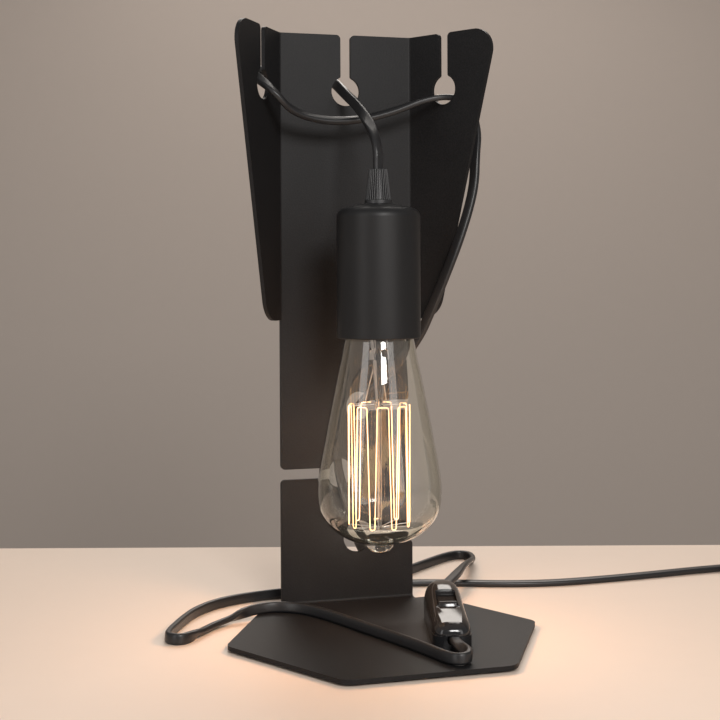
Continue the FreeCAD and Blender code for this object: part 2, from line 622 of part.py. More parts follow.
cord_in = SW_L / 2 - SW_CORD_IN
LAMP_ROUTE = [(AXIS_X, AXIS_Y, HANG_TOP), (-1.3, 7.2, 259.5), (-1.6, 38, 278.5), (-2.6, 64, 288.9),
              (-5.2, 84.4, 299.8), (-18, 97, 306), (-38, 97, 305), (-56, 82, 303), (-61.6, 58.5, 301.5),
              (-47.2, 41.5, 288.5), (-36, 47.5, 278.6), (-18, 51, 272.2), (2, 51.5, 273.2), (22, 51, 278.6),
              (38, 50.5, 285.0), (52.6, 49.0, 287.8), (66.6, 57.5, 286.0), (70.5, 50, 270), (67.3, 45.5, 253),
              (66.6, 44.5, 240), (63.4, 44, 226), (57.2, 43.5, 208), (50.2, 44.5, 190), (43.3, 48, 171.5),
              (35.5, 54, 150), (18, 59.1, 130), (-8, 89.1, 95), (-4, 59.1, 57.6), (15, 89.1, 22), (46, 128, 3.0),
              (62, 144, FLOOR_CORD), (80, 160, FLOOR_CORD), (94, 171, FLOOR_CORD), (105, 176.5, FLOOR_CORD),
              (112, 172.5, FLOOR_CORD), (111, 162, 2.5), (104, 148.5, 3.9), (92, 126, 8.6), (78, 98, 12.6),
              (66, 76, 13), (53, 57.5, 12.2), on_switch(42, SW_FAR_CORD_Z), on_switch(cord_in, SW_FAR_CORD_Z)]
MAINS_ROUTE = [on_switch(-cord_in, SW_NEAR_CORD_Z), on_switch(-40, SW_NEAR_CORD_Z), (23.9, -65.2, 6.9),
               (16.1, -66.9, 6.4), (8.0, -46.5, 6), (0.2, -25, 5.85), (-11.2, 5, 5.85), (-20, 29, 5.85),
               (-30, 50, 5.85), (-45, 60, 6.3), (-60, 57, 6.6), (-73, 52.5, 2.9), (-84, 44, FLOOR_CORD),
               (-92, 33.5, FLOOR_CORD), (-99.5, 22.7, FLOOR_CORD), (-105.3, 21, FLOOR_CORD),
               (-109, 25.6, FLOOR_CORD), (-107.8, 34, FLOOR_CORD), (-103, 44, FLOOR_CORD),
               (-96.5, 57, FLOOR_CORD), (-88, 73, FLOOR_CORD),
               (-74, 89, FLOOR_CORD), (-54, 99.5, FLOOR_CORD), (-26, 104.5, FLOOR_CORD), (10, 110, FLOOR_CORD),
               (45, 112.5, FLOOR_CORD), (76, 103, FLOOR_CORD), (102, 92, FLOOR_CORD), (132, 85.5, FLOOR_CORD),
               (165, 86, FLOOR_CORD), (200, 88.5, FLOOR_CORD), (235, 91.5, FLOOR_CORD), (269, 91.5, FLOOR_CORD)]
save("lamp_cord", tube("lamp_cord", LAMP_ROUTE, CORD_R))
save("mains_cord", tube("mains_cord", MAINS_ROUTE, CORD_R))


# Coil: winds clockwise inwards on the floor, climbs, and winds out again on top
coil_start = V(*MAINS_ROUTE[-1])
lead_in = 2 * CORD_R
coil_centre = coil_start + V(lead_in, -COIL_R, 0)
coil_angle = 360.0 * COIL_TURNS
climb_from = coil_angle / 2 - COIL_CLIMB / 2
climb_to = coil_angle / 2 + COIL_CLIMB / 2


def coil_point(turned_by):
    """Point of the wound cord after so many degrees from the start."""
    inwards = min(turned_by, coil_angle - turned_by)
    share = min(max((turned_by - climb_from) / (climb_to - climb_from), 0), 1)
    ease = share * share * (3 - 2 * share)
    radius = COIL_R - COIL_STEP * inwards / 360 + COIL_SHIFT * ease
    if inwards > coil_angle / 2 - 45:
        t = (inwards - (coil_angle / 2 - 45)) / 45
        radius += COIL_STEP * 45 / 360 * t * t / 2
    leaving = max(turned_by - (coil_angle - 120), 0) / 120
    radius += COIL_FLARE * leaving * leaving
    angle = math.radians(90 - turned_by)
    return coil_centre + V(radius * math.cos(angle), radius * math.sin(angle), COIL_LAYER * ease)


def coil_tangent(turned_by):
    return (coil_point(turned_by + 0.05) - coil_point(turned_by - 0.05)).normalize()


def biarc(p1, t1, p2, t2):
    """Two arcs, tangent to each other, from one point and direction to another."""
    chord = p2 - p1
    both = t1 + t2
    a = both.dot(both) - 4
    b = -2 * chord.dot(both)
    c = chord.dot(chord)
    d = (-b - math.sqrt(b * b - 4 * a * c)) / (2 * a)
    if d < 0:
        d = (-b + math.sqrt(b * b - 4 * a * c)) / (2 * a)
    c1 = p1 + t1 * d
    c2 = p2 - t2 * d
    joint = (c1 + c2) * 0.5
    out = []
    for start, corner, stop in ((p1, c1, joint), (joint, c2, p2)):
        d1 = (start - corner).normalize()
        d2 = (stop - corner).normalize()
        half = d1.getAngle(d2) / 2
        r = d * math.tan(half)
        centre = corner + (d1 + d2).normalize() * (r / math.sin(half))
        out.append(Part.Arc(start, centre + (corner - centre).normalize() * r, stop).toShape())
    return out


knot_angles = [k * 45.0 for k in range(int(round(coil_angle / 45)) + 1)]
coil_tangents = [V(1, 0, 0)] + [coil_tangent(a) for a in knot_angles[1:]]
coil_tangents[-1] = V(coil_tangents[-1].x, coil_tangents[-1].y, 0).normalize()
coil_edges = [Part.LineSegment(coil_start, coil_point(0)).toShape()]
for k in range(len(knot_angles) - 1):
    coil_edges += biarc(coil_point(knot_angles[k]), coil_tangents[k], coil_point(knot_angles[k + 1]),
                        coil_tangents[k + 1])
coil_end = coil_point(coil_angle)
coil_out = coil_tangents[-1]
coil_stop = coil_end + coil_out * (2 * CORD_R)
coil_edges.append(Part.LineSegment(coil_end, coil_stop).toShape())
coil_wire = Part.Wire(coil_edges)
coil_ring = Part.makeCircle(CORD_R, coil_start, V(1, 0, 0))
coil = coil_wire.makePipeShell([Part.Wire(coil_ring)], True, False)
samples = coil_wire.discretize(Distance=1.5)
least = 1e9
for i in range(len(samples)):
    for j in range(i + 12, len(samples)):
        least = min(least, samples[i].distanceToPoint(samples[j]))
print("coil length", round(coil_wire.Length, 1), "volume share",
      round(coil.Volume / (math.pi * CORD_R ** 2 * coil_wire.Length), 4), "least gap", round(least - 2 * CORD_R, 2))
save("cord_coil", coil)

# Plug, laid flat on the floor in line with the coil's end
relief_end = coil_stop + coil_out * RELIEF_L
save("plug_relief", Part.makeCone(RELIEF_SMALL_R, RELIEF_BIG_R, RELIEF_L, coil_stop, coil_out))
plug_side = V(0, 0, 1).cross(coil_out)


def on_plug(shape):
    """Moves a shape from the plug's own axes: Y runs from the relief to the pins, Z up."""
    return placed(shape, V(relief_end.x, relief_end.y, PLUG_T / 2), V(coil_out.y, -coil_out.x, 0), coil_out)


plug = slab([(-PLUG_NECK_W / 2, 0, 2.0), (PLUG_NECK_W / 2, 0, 2.0), (PLUG_W / 2, PLUG_L * 0.42, 6.0),
             (PLUG_W / 2, PLUG_L, 1.2), (-PLUG_W / 2, PLUG_L, 1.2), (-PLUG_W / 2, PLUG_L * 0.42, 6.0)],
            PLUG_T, -PLUG_T / 2)
plug_end = slab([(-PLUG_W / 2, -PLUG_T / 2, 4.0), (PLUG_W / 2, -PLUG_T / 2, 4.0), (PLUG_W / 2, PLUG_T / 2, 4.0),
                 (-PLUG_W / 2, PLUG_T / 2, 4.0)], PLUG_L + 2)
plug = plug.common(placed(plug_end, V(0, PLUG_L + 1, 0), V(1, 0, 0), V(0, 0, 1)))
pins = []
sleeves = []
for side in (-1, 1):
    x = side * PIN_PITCH / 2
    root = V(x, PLUG_L - PIN_ROOT, 0)
    face = V(x, PLUG_L, 0)
    tip_from = V(x, PLUG_L + PIN_SLEEVE_L, 0)
    tip_to = V(x, PLUG_L + PIN_L - PIN_CHAMFER, 0)
    forward = V(0, 1, 0)
    plug = plug.cut(Part.makeCylinder(PIN_CORE_R + THREAD_CLEAR, PIN_ROOT + 1, root, forward))
    core_pin = Part.makeCylinder(PIN_CORE_R, PIN_ROOT + PIN_SLEEVE_L + 1, root, forward)
    tip = Part.makeCylinder(PIN_R, PIN_L - PIN_SLEEVE_L - PIN_CHAMFER, tip_from, forward)
    nose = Part.makeCone(PIN_R, PIN_R - PIN_CHAMFER, PIN_CHAMFER, tip_to, forward)
    pins.append(core_pin.fuse([tip, nose]).removeSplitter())
    sleeve = Part.makeCylinder(PIN_SLEEVE_R, PIN_SLEEVE_L, face, forward)
    sleeves.append(sleeve.cut(Part.makeCylinder(PIN_CORE_R + THREAD_CLEAR, PIN_SLEEVE_L + 2, face - V(0, 1, 0), forward)))
save("plug_body", on_plug(plug))
save("plug_pins", on_plug(Part.makeCompound(pins)))
save("pin_sleeves", on_plug(Part.makeCompound(sleeves)))
pin_tip = V(PIN_PITCH / 2, PLUG_L + PIN_L - 4.0, 0)
pin_world = on_plug(Part.Vertex(pin_tip)).Vertexes[0].Point
print("pin point", [round(c, 3) for c in pin_world], "pin direction", [round(c, 5) for c in coil_out])


# Switch, in its own axes: Y from the near end to the far end, Z up from the base
def on_base(shape):
    out = shape.copy()
    out.rotate(V(0, 0, 0), V(0, 0, 1), SW_ANGLE)
    out.translate(V(SW_X, SW_Y, BASE_TOP))
    return out


half_l = SW_L / 2
half_w = SW_W / 2
open_near = ROCKER_Y - ROCKER_R - ROCKER_CLEAR
open_far = ROCKER_Y + ROCKER_R + ROCKER_CLEAR
plan = slab([(-half_w, -half_l, SW_END_R * 0.6), (half_w, -half_l, SW_END_R * 0.6), (half_w, half_l, SW_END_R),
             (-half_w, half_l, SW_END_R)], SW_REAR_TOP + 5)
side_view = slab([(-half_l, 0, 0), (half_l, 0, 0), (half_l, SW_REAR_TOP - 4, 10.0), (half_l - 13, SW_REAR_TOP, 9.0),
                  (open_far, SW_RAMP_TOP + 3.5, 0), (open_far, SW_RAMP_TOP, 0), (open_near, SW_RAMP_TOP, 0),
                  (-half_l + 3.5, SW_NEAR_TOP + 1.0, 2.0), (-half_l, SW_NEAR_TOP - 2.5, 1.0)], SW_W + 2)
side_view = placed(side_view, V(-half_w - 1, 0, 0), V(0, 1, 0), V(0, 0, 1))
end_view = slab([(-half_w, 0, 0), (half_w, 0, 0), (half_w, 10, 5.0), (SW_CROWN_W / 2, SW_REAR_TOP + 0.5, 4.0),
                 (-SW_CROWN_W / 2, SW_REAR_TOP + 0.5, 4.0), (-half_w, 10, 5.0)], SW_L + 2)
end_view = placed(end_view, V(0, half_l + 1, 0), V(1, 0, 0), V(0, 0, 1))
case = plan.common(side_view).common(end_view)
cav = SW_CAVITY_L / 2
in_w = half_w - SW_WALL
low_room = box(-in_w, in_w, -cav, cav, SW_FLOOR, SW_SPLIT + 0.01)
near_room = box(-in_w, in_w, -cav, open_near - 1.5, SW_SPLIT, SW_NEAR_TOP - 1)
mid_room = box(-in_w + 1, in_w - 1, open_near - 1.5, open_far + 1.5, SW_SPLIT, SW_RAMP_TOP - 5)
far_room = box(-in_w + 1, in_w - 1, open_far + 1.5, cav, SW_SPLIT, SW_RAMP_TOP - 2)
window = box(-ROCKER_W / 2 - ROCKER_CLEAR, ROCKER_W / 2 + ROCKER_CLEAR, open_near, open_far, SW_SPLIT, SW_REAR_TOP + 5)
near_bore = Part.makeCylinder(CORD_R + SW_BORE_CLEAR, half_l, V(0, -half_l - 1, SW_NEAR_CORD_Z), V(0, 1, 0))
far_bore = Part.makeCylinder(CORD_R + SW_BORE_CLEAR, half_l, V(0, 1, SW_FAR_CORD_Z), V(0, 1, 0))
near_bore = near_bore.common(box(-5, 5, -half_l - 1, -cav + 1, 0, 20))
far_bore = far_bore.common(box(-5, 5, cav - 1, half_l + 1, 0, 20))
pin_hole = Part.makeCylinder(ROCKER_PIN_R + THREAD_CLEAR, ROCKER_W + 5, V(-ROCKER_W / 2 - 2.5, ROCKER_Y, ROCKER_Z),
                             V(1, 0, 0))
case = case.cut([low_room, near_room, mid_room, far_room, window, near_bore, far_bore, pin_hole])
case_screws = []
for sign in (-1, 1):
    x = sign * CASE_SCREW_X
    y = -sign * CASE_SCREW_Y
    top = SW_SPLIT + 3.5
    screw = cylinder(CASE_SCREW_R, 0.4, top, x, y).fuse(cylinder(CASE_HEAD_R, 0.4, 0.4 + CASE_HEAD_H, x, y))
    cross = box(x - 0.35, x + 0.35, y - 1.6, y + 1.6, 0, 1.2)
    cross = cross.fuse(box(x - 1.6, x + 1.6, y - 0.35, y + 0.35, 0, 1.2))
    case_screws.append(screw.cut(cross).removeSplitter())
    case = case.cut(cylinder(CASE_SCREW_R + THREAD_CLEAR, 0.4, top + 0.5, x, y))
    case = case.cut(cylinder(CASE_HEAD_R + 0.15, -1, 0.4 + CASE_HEAD_H, x, y))
below = box(-half_w - 2, half_w + 2, -half_l - 2, half_l + 2, -2, SW_SPLIT)
above = box(-half_w - 2, half_w + 2, -half_l - 2, half_l + 2, SW_SPLIT, 40)
save("switch_lower_shell", on_base(case.common(below)))
save("switch_upper_shell", on_base(case.common(above)))
save("switch_case_screws", on_base(Part.makeCompound(case_screws)))

# Rocker: two faces that meet over the pin, ends rounded about the pin
tilt = math.tan(math.radians(ROCKER_TILT))
crest = SW_RAMP_TOP + 1.0
rock = slab([(ROCKER_Y - 12, crest + 12 * tilt, 0), (ROCKER_Y - 12, ROCKER_Z - 3.0, 0),
             (ROCKER_Y + 12, ROCKER_Z - 3.0, 0), (ROCKER_Y + 12, crest + 0.2, 0), (ROCKER_Y, crest, 14.0)], ROCKER_W)
rock = placed(rock, V(-ROCKER_W / 2, 0, 0), V(0, 1, 0), V(0, 0, 1))
barrel = Part.makeCylinder(ROCKER_R, ROCKER_W, V(-ROCKER_W / 2, ROCKER_Y, ROCKER_Z), V(1, 0, 0))
rock = rock.common(barrel)
rock = rock.cut(Part.makeCylinder(ROCKER_PIN_R + ROCKER_PIN_CLEAR, ROCKER_W + 2,
                                  V(-ROCKER_W / 2 - 1, ROCKER_Y, ROCKER_Z), V(1, 0, 0)))
save("switch_rocker", on_base(rock))
rocker_pin = Part.makeCylinder(ROCKER_PIN_R, ROCKER_W + 4, V(-ROCKER_W / 2 - 2, ROCKER_Y, ROCKER_Z), V(1, 0, 0))
save("rocker_pin", on_base(rocker_pin))
bridge = box(-2.0, 2.0, ROCKER_Y - 6, ROCKER_Y + 6, ROCKER_Z - 3.6, ROCKER_Z - 3.0)
save("rocker_bridge", on_base(bridge))

# Fixed contacts, terminals and clamps inside the case
sw_blocks = []
sw_screws = []
for sx in (-1, 1):
    for sy in (-1, 1):
        x = sx * SW_BLOCK_X
        y = sy * (SW_BLOCK_Y + 1.0)
        block = box(x - SW_BLOCK_W / 2, x + SW_BLOCK_W / 2, y - SW_BLOCK_L / 2, y + SW_BLOCK_L / 2, SW_FLOOR,
                    SW_FLOOR + SW_BLOCK_H)
        sw_blocks.append(block.cut(cylinder(1.05, SW_FLOOR + 1, SW_FLOOR + SW_BLOCK_H + 1, x, y)))
        top = SW_FLOOR + SW_BLOCK_H
        screw = cylinder(1.0, SW_FLOOR + 1.4, top + 0.2, x, y).fuse(cylinder(1.6, top + 0.2, top + 1.2, x, y))
        sw_screws.append(screw.cut(box(x - 1.6, x + 1.6, y - 0.25, y + 0.25, top + 0.8, top + 2)).removeSplitter())
save("switch_terminal_blocks", on_base(Part.makeCompound(sw_blocks)))
save("switch_terminal_screws", on_base(Part.makeCompound(sw_screws)))
contacts = []
inner_block = SW_BLOCK_Y + 1.0 - SW_BLOCK_L / 2
for sy in (-1, 1):
    foot = box(SW_BLOCK_X - 1.5, SW_BLOCK_X + 1.5, 0, inner_block - 3.0, SW_FLOOR, SW_FLOOR + 0.6)
    foot = foot.fuse(box(-1.5, SW_BLOCK_X, 2.0, 4.6, SW_FLOOR, SW_FLOOR + 0.6))
    foot = foot.fuse(box(SW_BLOCK_X - 1.5, SW_BLOCK_X + 1.5, inner_block - 4, inner_block, SW_FLOOR, SW_FLOOR + 0.6))
    post_top = ROCKER_Z - 6.4
    foot = foot.fuse(box(-1.2, 1.2, 2.4, 4.2, SW_FLOOR, post_top)).removeSplitter()
    if sy < 0:
        foot = foot.mirror(V(0, 0, 0), V(0, 1, 0))
    contacts.append(foot)
save("switch_contacts", on_base(Part.makeCompound(contacts)))
near_clamp_z = SW_NEAR_CORD_Z + CORD_R
far_clamp_z = SW_FAR_CORD_Z + CORD_R
clamps = [box(-CLAMP_L / 2, CLAMP_L / 2, -cav + 0.4, -cav + 0.4 + CLAMP_W, near_clamp_z, near_clamp_z + CLAMP_T),
          box(-CLAMP_L / 2, CLAMP_L / 2, cav - 0.4 - CLAMP_W, cav - 0.4, far_clamp_z, far_clamp_z + CLAMP_T)]
save("switch_cord_clamps", on_base(Part.makeCompound(clamps)))
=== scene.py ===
# %% [markdown]
# # A table lamp of folded sheet steel, dressed for its portrait
# The lamp is one sheet of black steel. A flat cord is threaded through its keyholes and
# carries a lamp holder with a clear bulb. The measured model gives every rigid piece its
# shape and place; this lesson gives the pieces their finish, and makes the soft and fine
# ones: the flat cord, the glass and the glowing wire.

# %% Load the measured model
import json
import math

import bmesh
import bpy
from mathutils import Matrix, Vector


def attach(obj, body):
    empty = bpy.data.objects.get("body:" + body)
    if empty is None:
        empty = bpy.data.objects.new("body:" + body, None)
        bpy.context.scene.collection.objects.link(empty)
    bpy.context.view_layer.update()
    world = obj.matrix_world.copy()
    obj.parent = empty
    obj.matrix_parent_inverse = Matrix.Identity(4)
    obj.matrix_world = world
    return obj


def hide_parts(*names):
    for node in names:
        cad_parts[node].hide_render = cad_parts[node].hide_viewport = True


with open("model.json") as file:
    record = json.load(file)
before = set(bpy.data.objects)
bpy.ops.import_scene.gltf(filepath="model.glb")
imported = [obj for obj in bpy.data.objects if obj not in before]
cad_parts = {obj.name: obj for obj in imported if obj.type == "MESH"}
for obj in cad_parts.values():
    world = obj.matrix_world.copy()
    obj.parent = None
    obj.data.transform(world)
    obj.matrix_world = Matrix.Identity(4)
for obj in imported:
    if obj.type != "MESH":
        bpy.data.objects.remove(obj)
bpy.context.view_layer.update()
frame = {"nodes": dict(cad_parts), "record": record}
MM = 0.001
print("pieces from the measured model:", len(frame["nodes"]))


# %% [markdown]
# ## The camera
# The camera stands a little left of the lamp and about 190 mm above the table, looking
# almost level. A long lens with a small downward shift keeps the sheet's upright edges
# parallel, which is how the portrait was framed.

# %% Camera
def add_camera(place, turn_deg, tilt_deg, roll_deg, lens, shift):
    """A camera turned about Z, tilted from level, then rolled about its own axis."""
    data = bpy.data.cameras.new("camera")
    camera = bpy.data.objects.new("camera", data)
    bpy.context.collection.objects.link(camera)
    turn = Matrix.Rotation(math.radians(turn_deg), 4, "Z")
    tilt = Matrix.Rotation(math.radians(90 + tilt_deg), 4, "X")
    roll = Matrix.Rotation(math.radians(roll_deg), 4, "Z")
    camera.matrix_world = Matrix.Translation(Vector(place) * MM) @ turn @ tilt @ roll
    data.sensor_width = 36.0
    data.lens = lens
    data.shift_x, data.shift_y = shift
    bpy.context.scene.camera = camera
    return camera


camera_turn = -15.949
camera = add_camera((-207.4, -679.9, 191.0), camera_turn, -0.408, -0.281, 69.0, (0.0004, -0.112))
print("camera at", [round(v, 4) for v in camera.location])


# %% [markdown]
# ## Node helpers
# Every finish below is a small network. These helpers add a node with its settings, and
# set or join its sockets, so that each material reads as a short list.

# %% Node helpers
def node(tree, kind, **settings):
    """A new node with plain attributes set on it."""
    made = tree.nodes.new(kind)
    for key, value in settings.items():
        setattr(made, key, value)
    return made


def feed(tree, target, values):
    """Sets each named socket, or links it when the value is another node's output."""
    for key, value in values.items():
        if isinstance(value, bpy.types.NodeSocket):
            tree.links.new(value, target.inputs[key])
        else:
            target.inputs[key].default_value = value
    return target


# %% A smooth line through listed points
def smooth_profile(points, steps):
    """Catmull-Rom points through an outline, for a profile without corners."""
    out = []
    for i in range(len(points) - 1):
        p0, p1 = Vector(points[max(i - 1, 0)]), Vector(points[i])
        p2, p3 = Vector(points[i + 1]), Vector(points[min(i + 2, len(points) - 1)])
        for k in range(steps):
            t = k / steps
            out.append(0.5 * (2 * p1 + (p2 - p0) * t + (2 * p0 - 5 * p1 + 4 * p2 - p3) * t * t
                              + (3 * p1 - p0 - 3 * p2 + p3) * t ** 3))
    out.append(Vector(points[-1]))
    return out


# %% [markdown]
# ## One grain for many finishes
# Powder coat, moulded plastic, cord and rubber are all a plain colour broken up by a fine
# grain. One node group makes that grain: it takes the colour, how far it wanders, the
# size of the grain in grains per metre and its depth, and gives back a colour, a
# roughness and a bumped normal. Each material places it with its own numbers.

# %% The shared grain group
def build_grain_group():
    tree = bpy.data.node_groups.new("surface_grain", "ShaderNodeTree")
    for name, kind in (("Colour", "NodeSocketColor"), ("Spread", "NodeSocketFloat"),
                       ("Roughness", "NodeSocketFloat"), ("Rough spread", "NodeSocketFloat"),
                       ("Scale", "NodeSocketFloat"), ("Depth", "NodeSocketFloat"),
                       ("Dust", "NodeSocketFloat")):
        tree.interface.new_socket(name, in_out="INPUT", socket_type=kind)
    for name, kind in (("Colour", "NodeSocketColor"), ("Roughness", "NodeSocketFloat"),
                       ("Normal", "NodeSocketVector")):
        tree.interface.new_socket(name, in_out="OUTPUT", socket_type=kind)
    enter = node(tree, "NodeGroupInput").outputs
    leave = node(tree, "NodeGroupOutput")
    place = node(tree, "ShaderNodeTexCoord").outputs["Object"]
    fine = feed(tree, node(tree, "ShaderNodeTexNoise"),
                {"Vector": place, "Scale": enter["Scale"], "Detail": 3.0, "Roughness": 0.6})
    broad = feed(tree, node(tree, "ShaderNodeTexNoise"),
                 {"Vector": place, "Scale": 38.0, "Detail": 4.0, "Roughness": 0.55})
    swing = feed(tree, node(tree, "ShaderNodeMath", operation="SUBTRACT"),
                 {0: fine.outputs["Fac"], 1: 0.5})
    wander = feed(tree, node(tree, "ShaderNodeMath", operation="MULTIPLY_ADD"),
                  {0: swing.outputs[0], 1: enter["Spread"], 2: 1.0})
    tinted = feed(tree, node(tree, "ShaderNodeVectorMath", operation="SCALE"),
                  {0: enter["Colour"], "Scale": wander.outputs[0]})
    patch = feed(tree, node(tree, "ShaderNodeMapRange"),
                 {"Value": broad.outputs["Fac"], "From Min": 0.48, "From Max": 0.78, "To Min": 0.0,
                  "To Max": enter["Dust"]})
    dusty = feed(tree, node(tree, "ShaderNodeMix", data_type="RGBA"),
                 {"Factor": patch.outputs[0], "A": tinted.outputs[0], "B": (0.30, 0.28, 0.26, 1.0)})
    rough = feed(tree, node(tree, "ShaderNodeMath", operation="MULTIPLY_ADD"),
                 {0: swing.outputs[0], 1: enter["Rough spread"], 2: enter["Roughness"]})
    bump = feed(tree, node(tree, "ShaderNodeBump"),
                {"Strength": 1.0, "Distance": enter["Depth"], "Height": fine.outputs["Fac"]})
    feed(tree, leave, {"Colour": dusty.outputs["Result"], "Roughness": rough.outputs[0],
                       "Normal": bump.outputs[0]})
    return tree


grain_group = build_grain_group()
print("shared group:", grain_group.name, "with", len(grain_group.nodes), "nodes")


# %% A grained finish
def grained(name, colour, roughness, scale, depth, spread=0.3, rough_spread=0.15, dust=0.03, **plain):
    """A Principled material whose colour, roughness and normal come from the grain group."""
    material = bpy.data.materials.new(name)
    material.use_nodes = True
    tree = material.node_tree
    shader = tree.nodes["Principled BSDF"]
    grain = node(tree, "ShaderNodeGroup", node_tree=grain_group)
    feed(tree, grain, {"Colour": (*colour, 1.0), "Spread": spread, "Roughness": roughness,
                       "Rough spread": rough_spread, "Scale": scale, "Depth": depth * MM, "Dust": dust})
    feed(tree, shader, {"Base Color": grain.outputs["Colour"], "Roughness": grain.outputs["Roughness"],
                        "Normal": grain.outputs["Normal"]})
    feed(tree, shader, plain)
    return material


# %% [markdown]
# ## The finishes of the lamp
# The sheet has a matt powder coat with a fine orange-peel grain. The holder's cover is a
# smoother matt coat, the switch is glossy moulded plastic, and the small inner metal is
# brass or zinc plated steel.

# %% Painted, moulded and metal finishes
powder_coat = grained("powder_coat", (0.0095, 0.0095, 0.0102), 0.48, 1150.0, 0.10, spread=1.6, dust=0.005,
                      **{"Specular IOR Level": 0.17})
cover_coat = grained("cover_coat", (0.0110, 0.0110, 0.0116), 0.42, 2600.0, 0.015, spread=0.25, dust=0.005,
                     **{"Specular IOR Level": 0.24})
grip_plastic = grained("grip_plastic", (0.018, 0.018, 0.019), 0.36, 900.0, 0.01, dust=0.005)
pad_rubber = grained("pad_rubber", (0.030, 0.030, 0.030), 0.85, 1200.0, 0.05)
core_plastic = grained("core_plastic", (0.060, 0.058, 0.056), 0.55, 800.0, 0.02)
switch_plastic = grained("switch_plastic", (0.012, 0.012, 0.013), 0.12, 260.0, 0.003, spread=0.1,
                         rough_spread=0.06, dust=0.01)
plug_plastic = grained("plug_plastic", (0.025, 0.025, 0.026), 0.40, 1500.0, 0.02)
zinc = grained("zinc_plate", (0.62, 0.62, 0.63), 0.32, 900.0, 0.01, spread=0.1, Metallic=1.0)
brass = grained("brass", (0.80, 0.60, 0.28), 0.28, 700.0, 0.01, spread=0.12, Metallic=1.0)
cap_metal = grained("cap_metal", (0.78, 0.72, 0.60), 0.25, 700.0, 0.01, spread=0.1, Metallic=1.0)
wire_metal = grained("wire_metal", (0.70, 0.68, 0.66), 0.30, 2000.0, 0.003, spread=0.1, Metallic=1.0)
solder = grained("solder", (0.55, 0.55, 0.56), 0.45, 1200.0, 0.05, Metallic=1.0)
cap_glaze = grained("cap_glaze", (0.012, 0.012, 0.016), 0.10, 300.0, 0.004, spread=0.1)
cord_skin = grained("cord_skin", (0.014, 0.014, 0.015), 0.33, 700.0, 0.008, spread=0.2, dust=0.01,
                    **{"Specular IOR Level": 0.4})
print("finishes so far:", len(bpy.data.materials))


# %% [markdown]
# ## Clear glass and the glowing wire
# Clear glass is a Principled shader that transmits everything. Where it is seen edge-on, a faint
# yellow is painted into its colour: a painted reflection that stands in for the warm table seen
# in the glass's edges. Shadow rays are let through by a transparent shader, because the light of
# the glowing wire and of the studio passes a thin bulb almost unchanged. The wire itself emits a warm light.

# %% Glass and glow
def clear_glass(name, edge_reflection_tint, roughness):
    material = bpy.data.materials.new(name)
    material.use_nodes = True
    tree = material.node_tree
    shader = tree.nodes["Principled BSDF"]
    place = node(tree, "ShaderNodeTexCoord").outputs["Object"]
    ripple = feed(tree, node(tree, "ShaderNodeTexNoise"), {"Vector": place, "Scale": 45.0, "Detail": 2.0})
    bump = feed(tree, node(tree, "ShaderNodeBump"),
                {"Strength": 0.25, "Distance": 0.0002, "Height": ripple.outputs["Fac"]})
    # Painted reflection: the colour turns yellow towards the edges, in place of the warm table reflected
    # there.
    edge = feed(tree, node(tree, "ShaderNodeLayerWeight"), {"Blend": 0.22})
    painted_edge_reflection = feed(tree, node(tree, "ShaderNodeMix", data_type="RGBA"),
                 {"Factor": edge.outputs["Facing"], "A": (0.995, 0.995, 0.99, 1.0), "B": (*edge_reflection_tint, 1.0)})
    feed(tree, shader, {"Base Color": painted_edge_reflection.outputs["Result"], "Roughness": roughness, "IOR": 1.48,
                        "Transmission Weight": 1.0, "Normal": bump.outputs[0]})
    rays = node(tree, "ShaderNodeLightPath")
    through = feed(tree, node(tree, "ShaderNodeBsdfTransparent"), {"Color": (0.97, 0.96, 0.94, 1.0)})
    mix = node(tree, "ShaderNodeMixShader")
    tree.links.new(rays.outputs["Is Shadow Ray"], mix.inputs[0])
    tree.links.new(shader.outputs[0], mix.inputs[1])
    tree.links.new(through.outputs[0], mix.inputs[2])
    tree.links.new(mix.outputs[0], tree.nodes["Material Output"].inputs["Surface"])
    return material


def glowing(name, colour, strength):
    material = bpy.data.materials.new(name)
    material.use_nodes = True
    tree = material.node_tree
    shader = tree.nodes["Principled BSDF"]
    place = node(tree, "ShaderNodeTexCoord").outputs["Object"]
    uneven = feed(tree, node(tree, "ShaderNodeTexNoise"), {"Vector": place, "Scale": 60.0, "Detail": 1.0})
    ramp = node(tree, "ShaderNodeValToRGB")
    ramp.color_ramp.elements[0].position = 0.3
    ramp.color_ramp.elements[0].color = (colour[0], colour[1] * 0.75, colour[2] * 0.6, 1.0)
    ramp.color_ramp.elements[1].position = 0.7
    ramp.color_ramp.elements[1].color = (*colour, 1.0)
    tree.links.new(uneven.outputs["Fac"], ramp.inputs["Fac"])
    feed(tree, shader, {"Base Color": (0.2, 0.12, 0.06, 1.0), "Emission Color": ramp.outputs["Color"],
                        "Emission Strength": strength})
    return material


# The second value is the yellow of each glass's painted edge reflection.
bulb_glass = clear_glass("bulb_glass", (0.86, 0.86, 0.62), 0.0)
stem_glass = clear_glass("stem_glass", (0.98, 0.98, 0.97), 0.02)
hot_wire = glowing("hot_wire", (1.0, 0.66, 0.34), 3.4)
print("glass and glow ready")

# %% [markdown]
# ## Finishes on the carried-over pieces
# Each rigid piece already has its right shape. Only its material slot is filled.

# %% Dress the rigid pieces
finish_of = {
    "black_steel": powder_coat, "pad_rubber": pad_rubber, "black_cover": cover_coat,
    "black_grip": grip_plastic, "zinc_steel": zinc, "holder_plastic": core_plastic, "brass": brass,
    "cord_black": cord_skin, "clear_glass": stem_glass, "cap_metal": cap_metal, "cap_glass": cap_glaze,
    "solder": solder, "filament_wire": hot_wire, "support_wire": wire_metal, "black_gloss": switch_plastic,
    "black_plug": plug_plastic, "nickel_pin": zinc,
}
slot_of = {part["node"]: part["material_slot"] for part in frame["record"]["subparts"]}
for name, piece in frame["nodes"].items():
    piece.data.materials.clear()
    piece.data.materials.append(finish_of[slot_of[name]])
print("dressed", len(slot_of), "pieces")


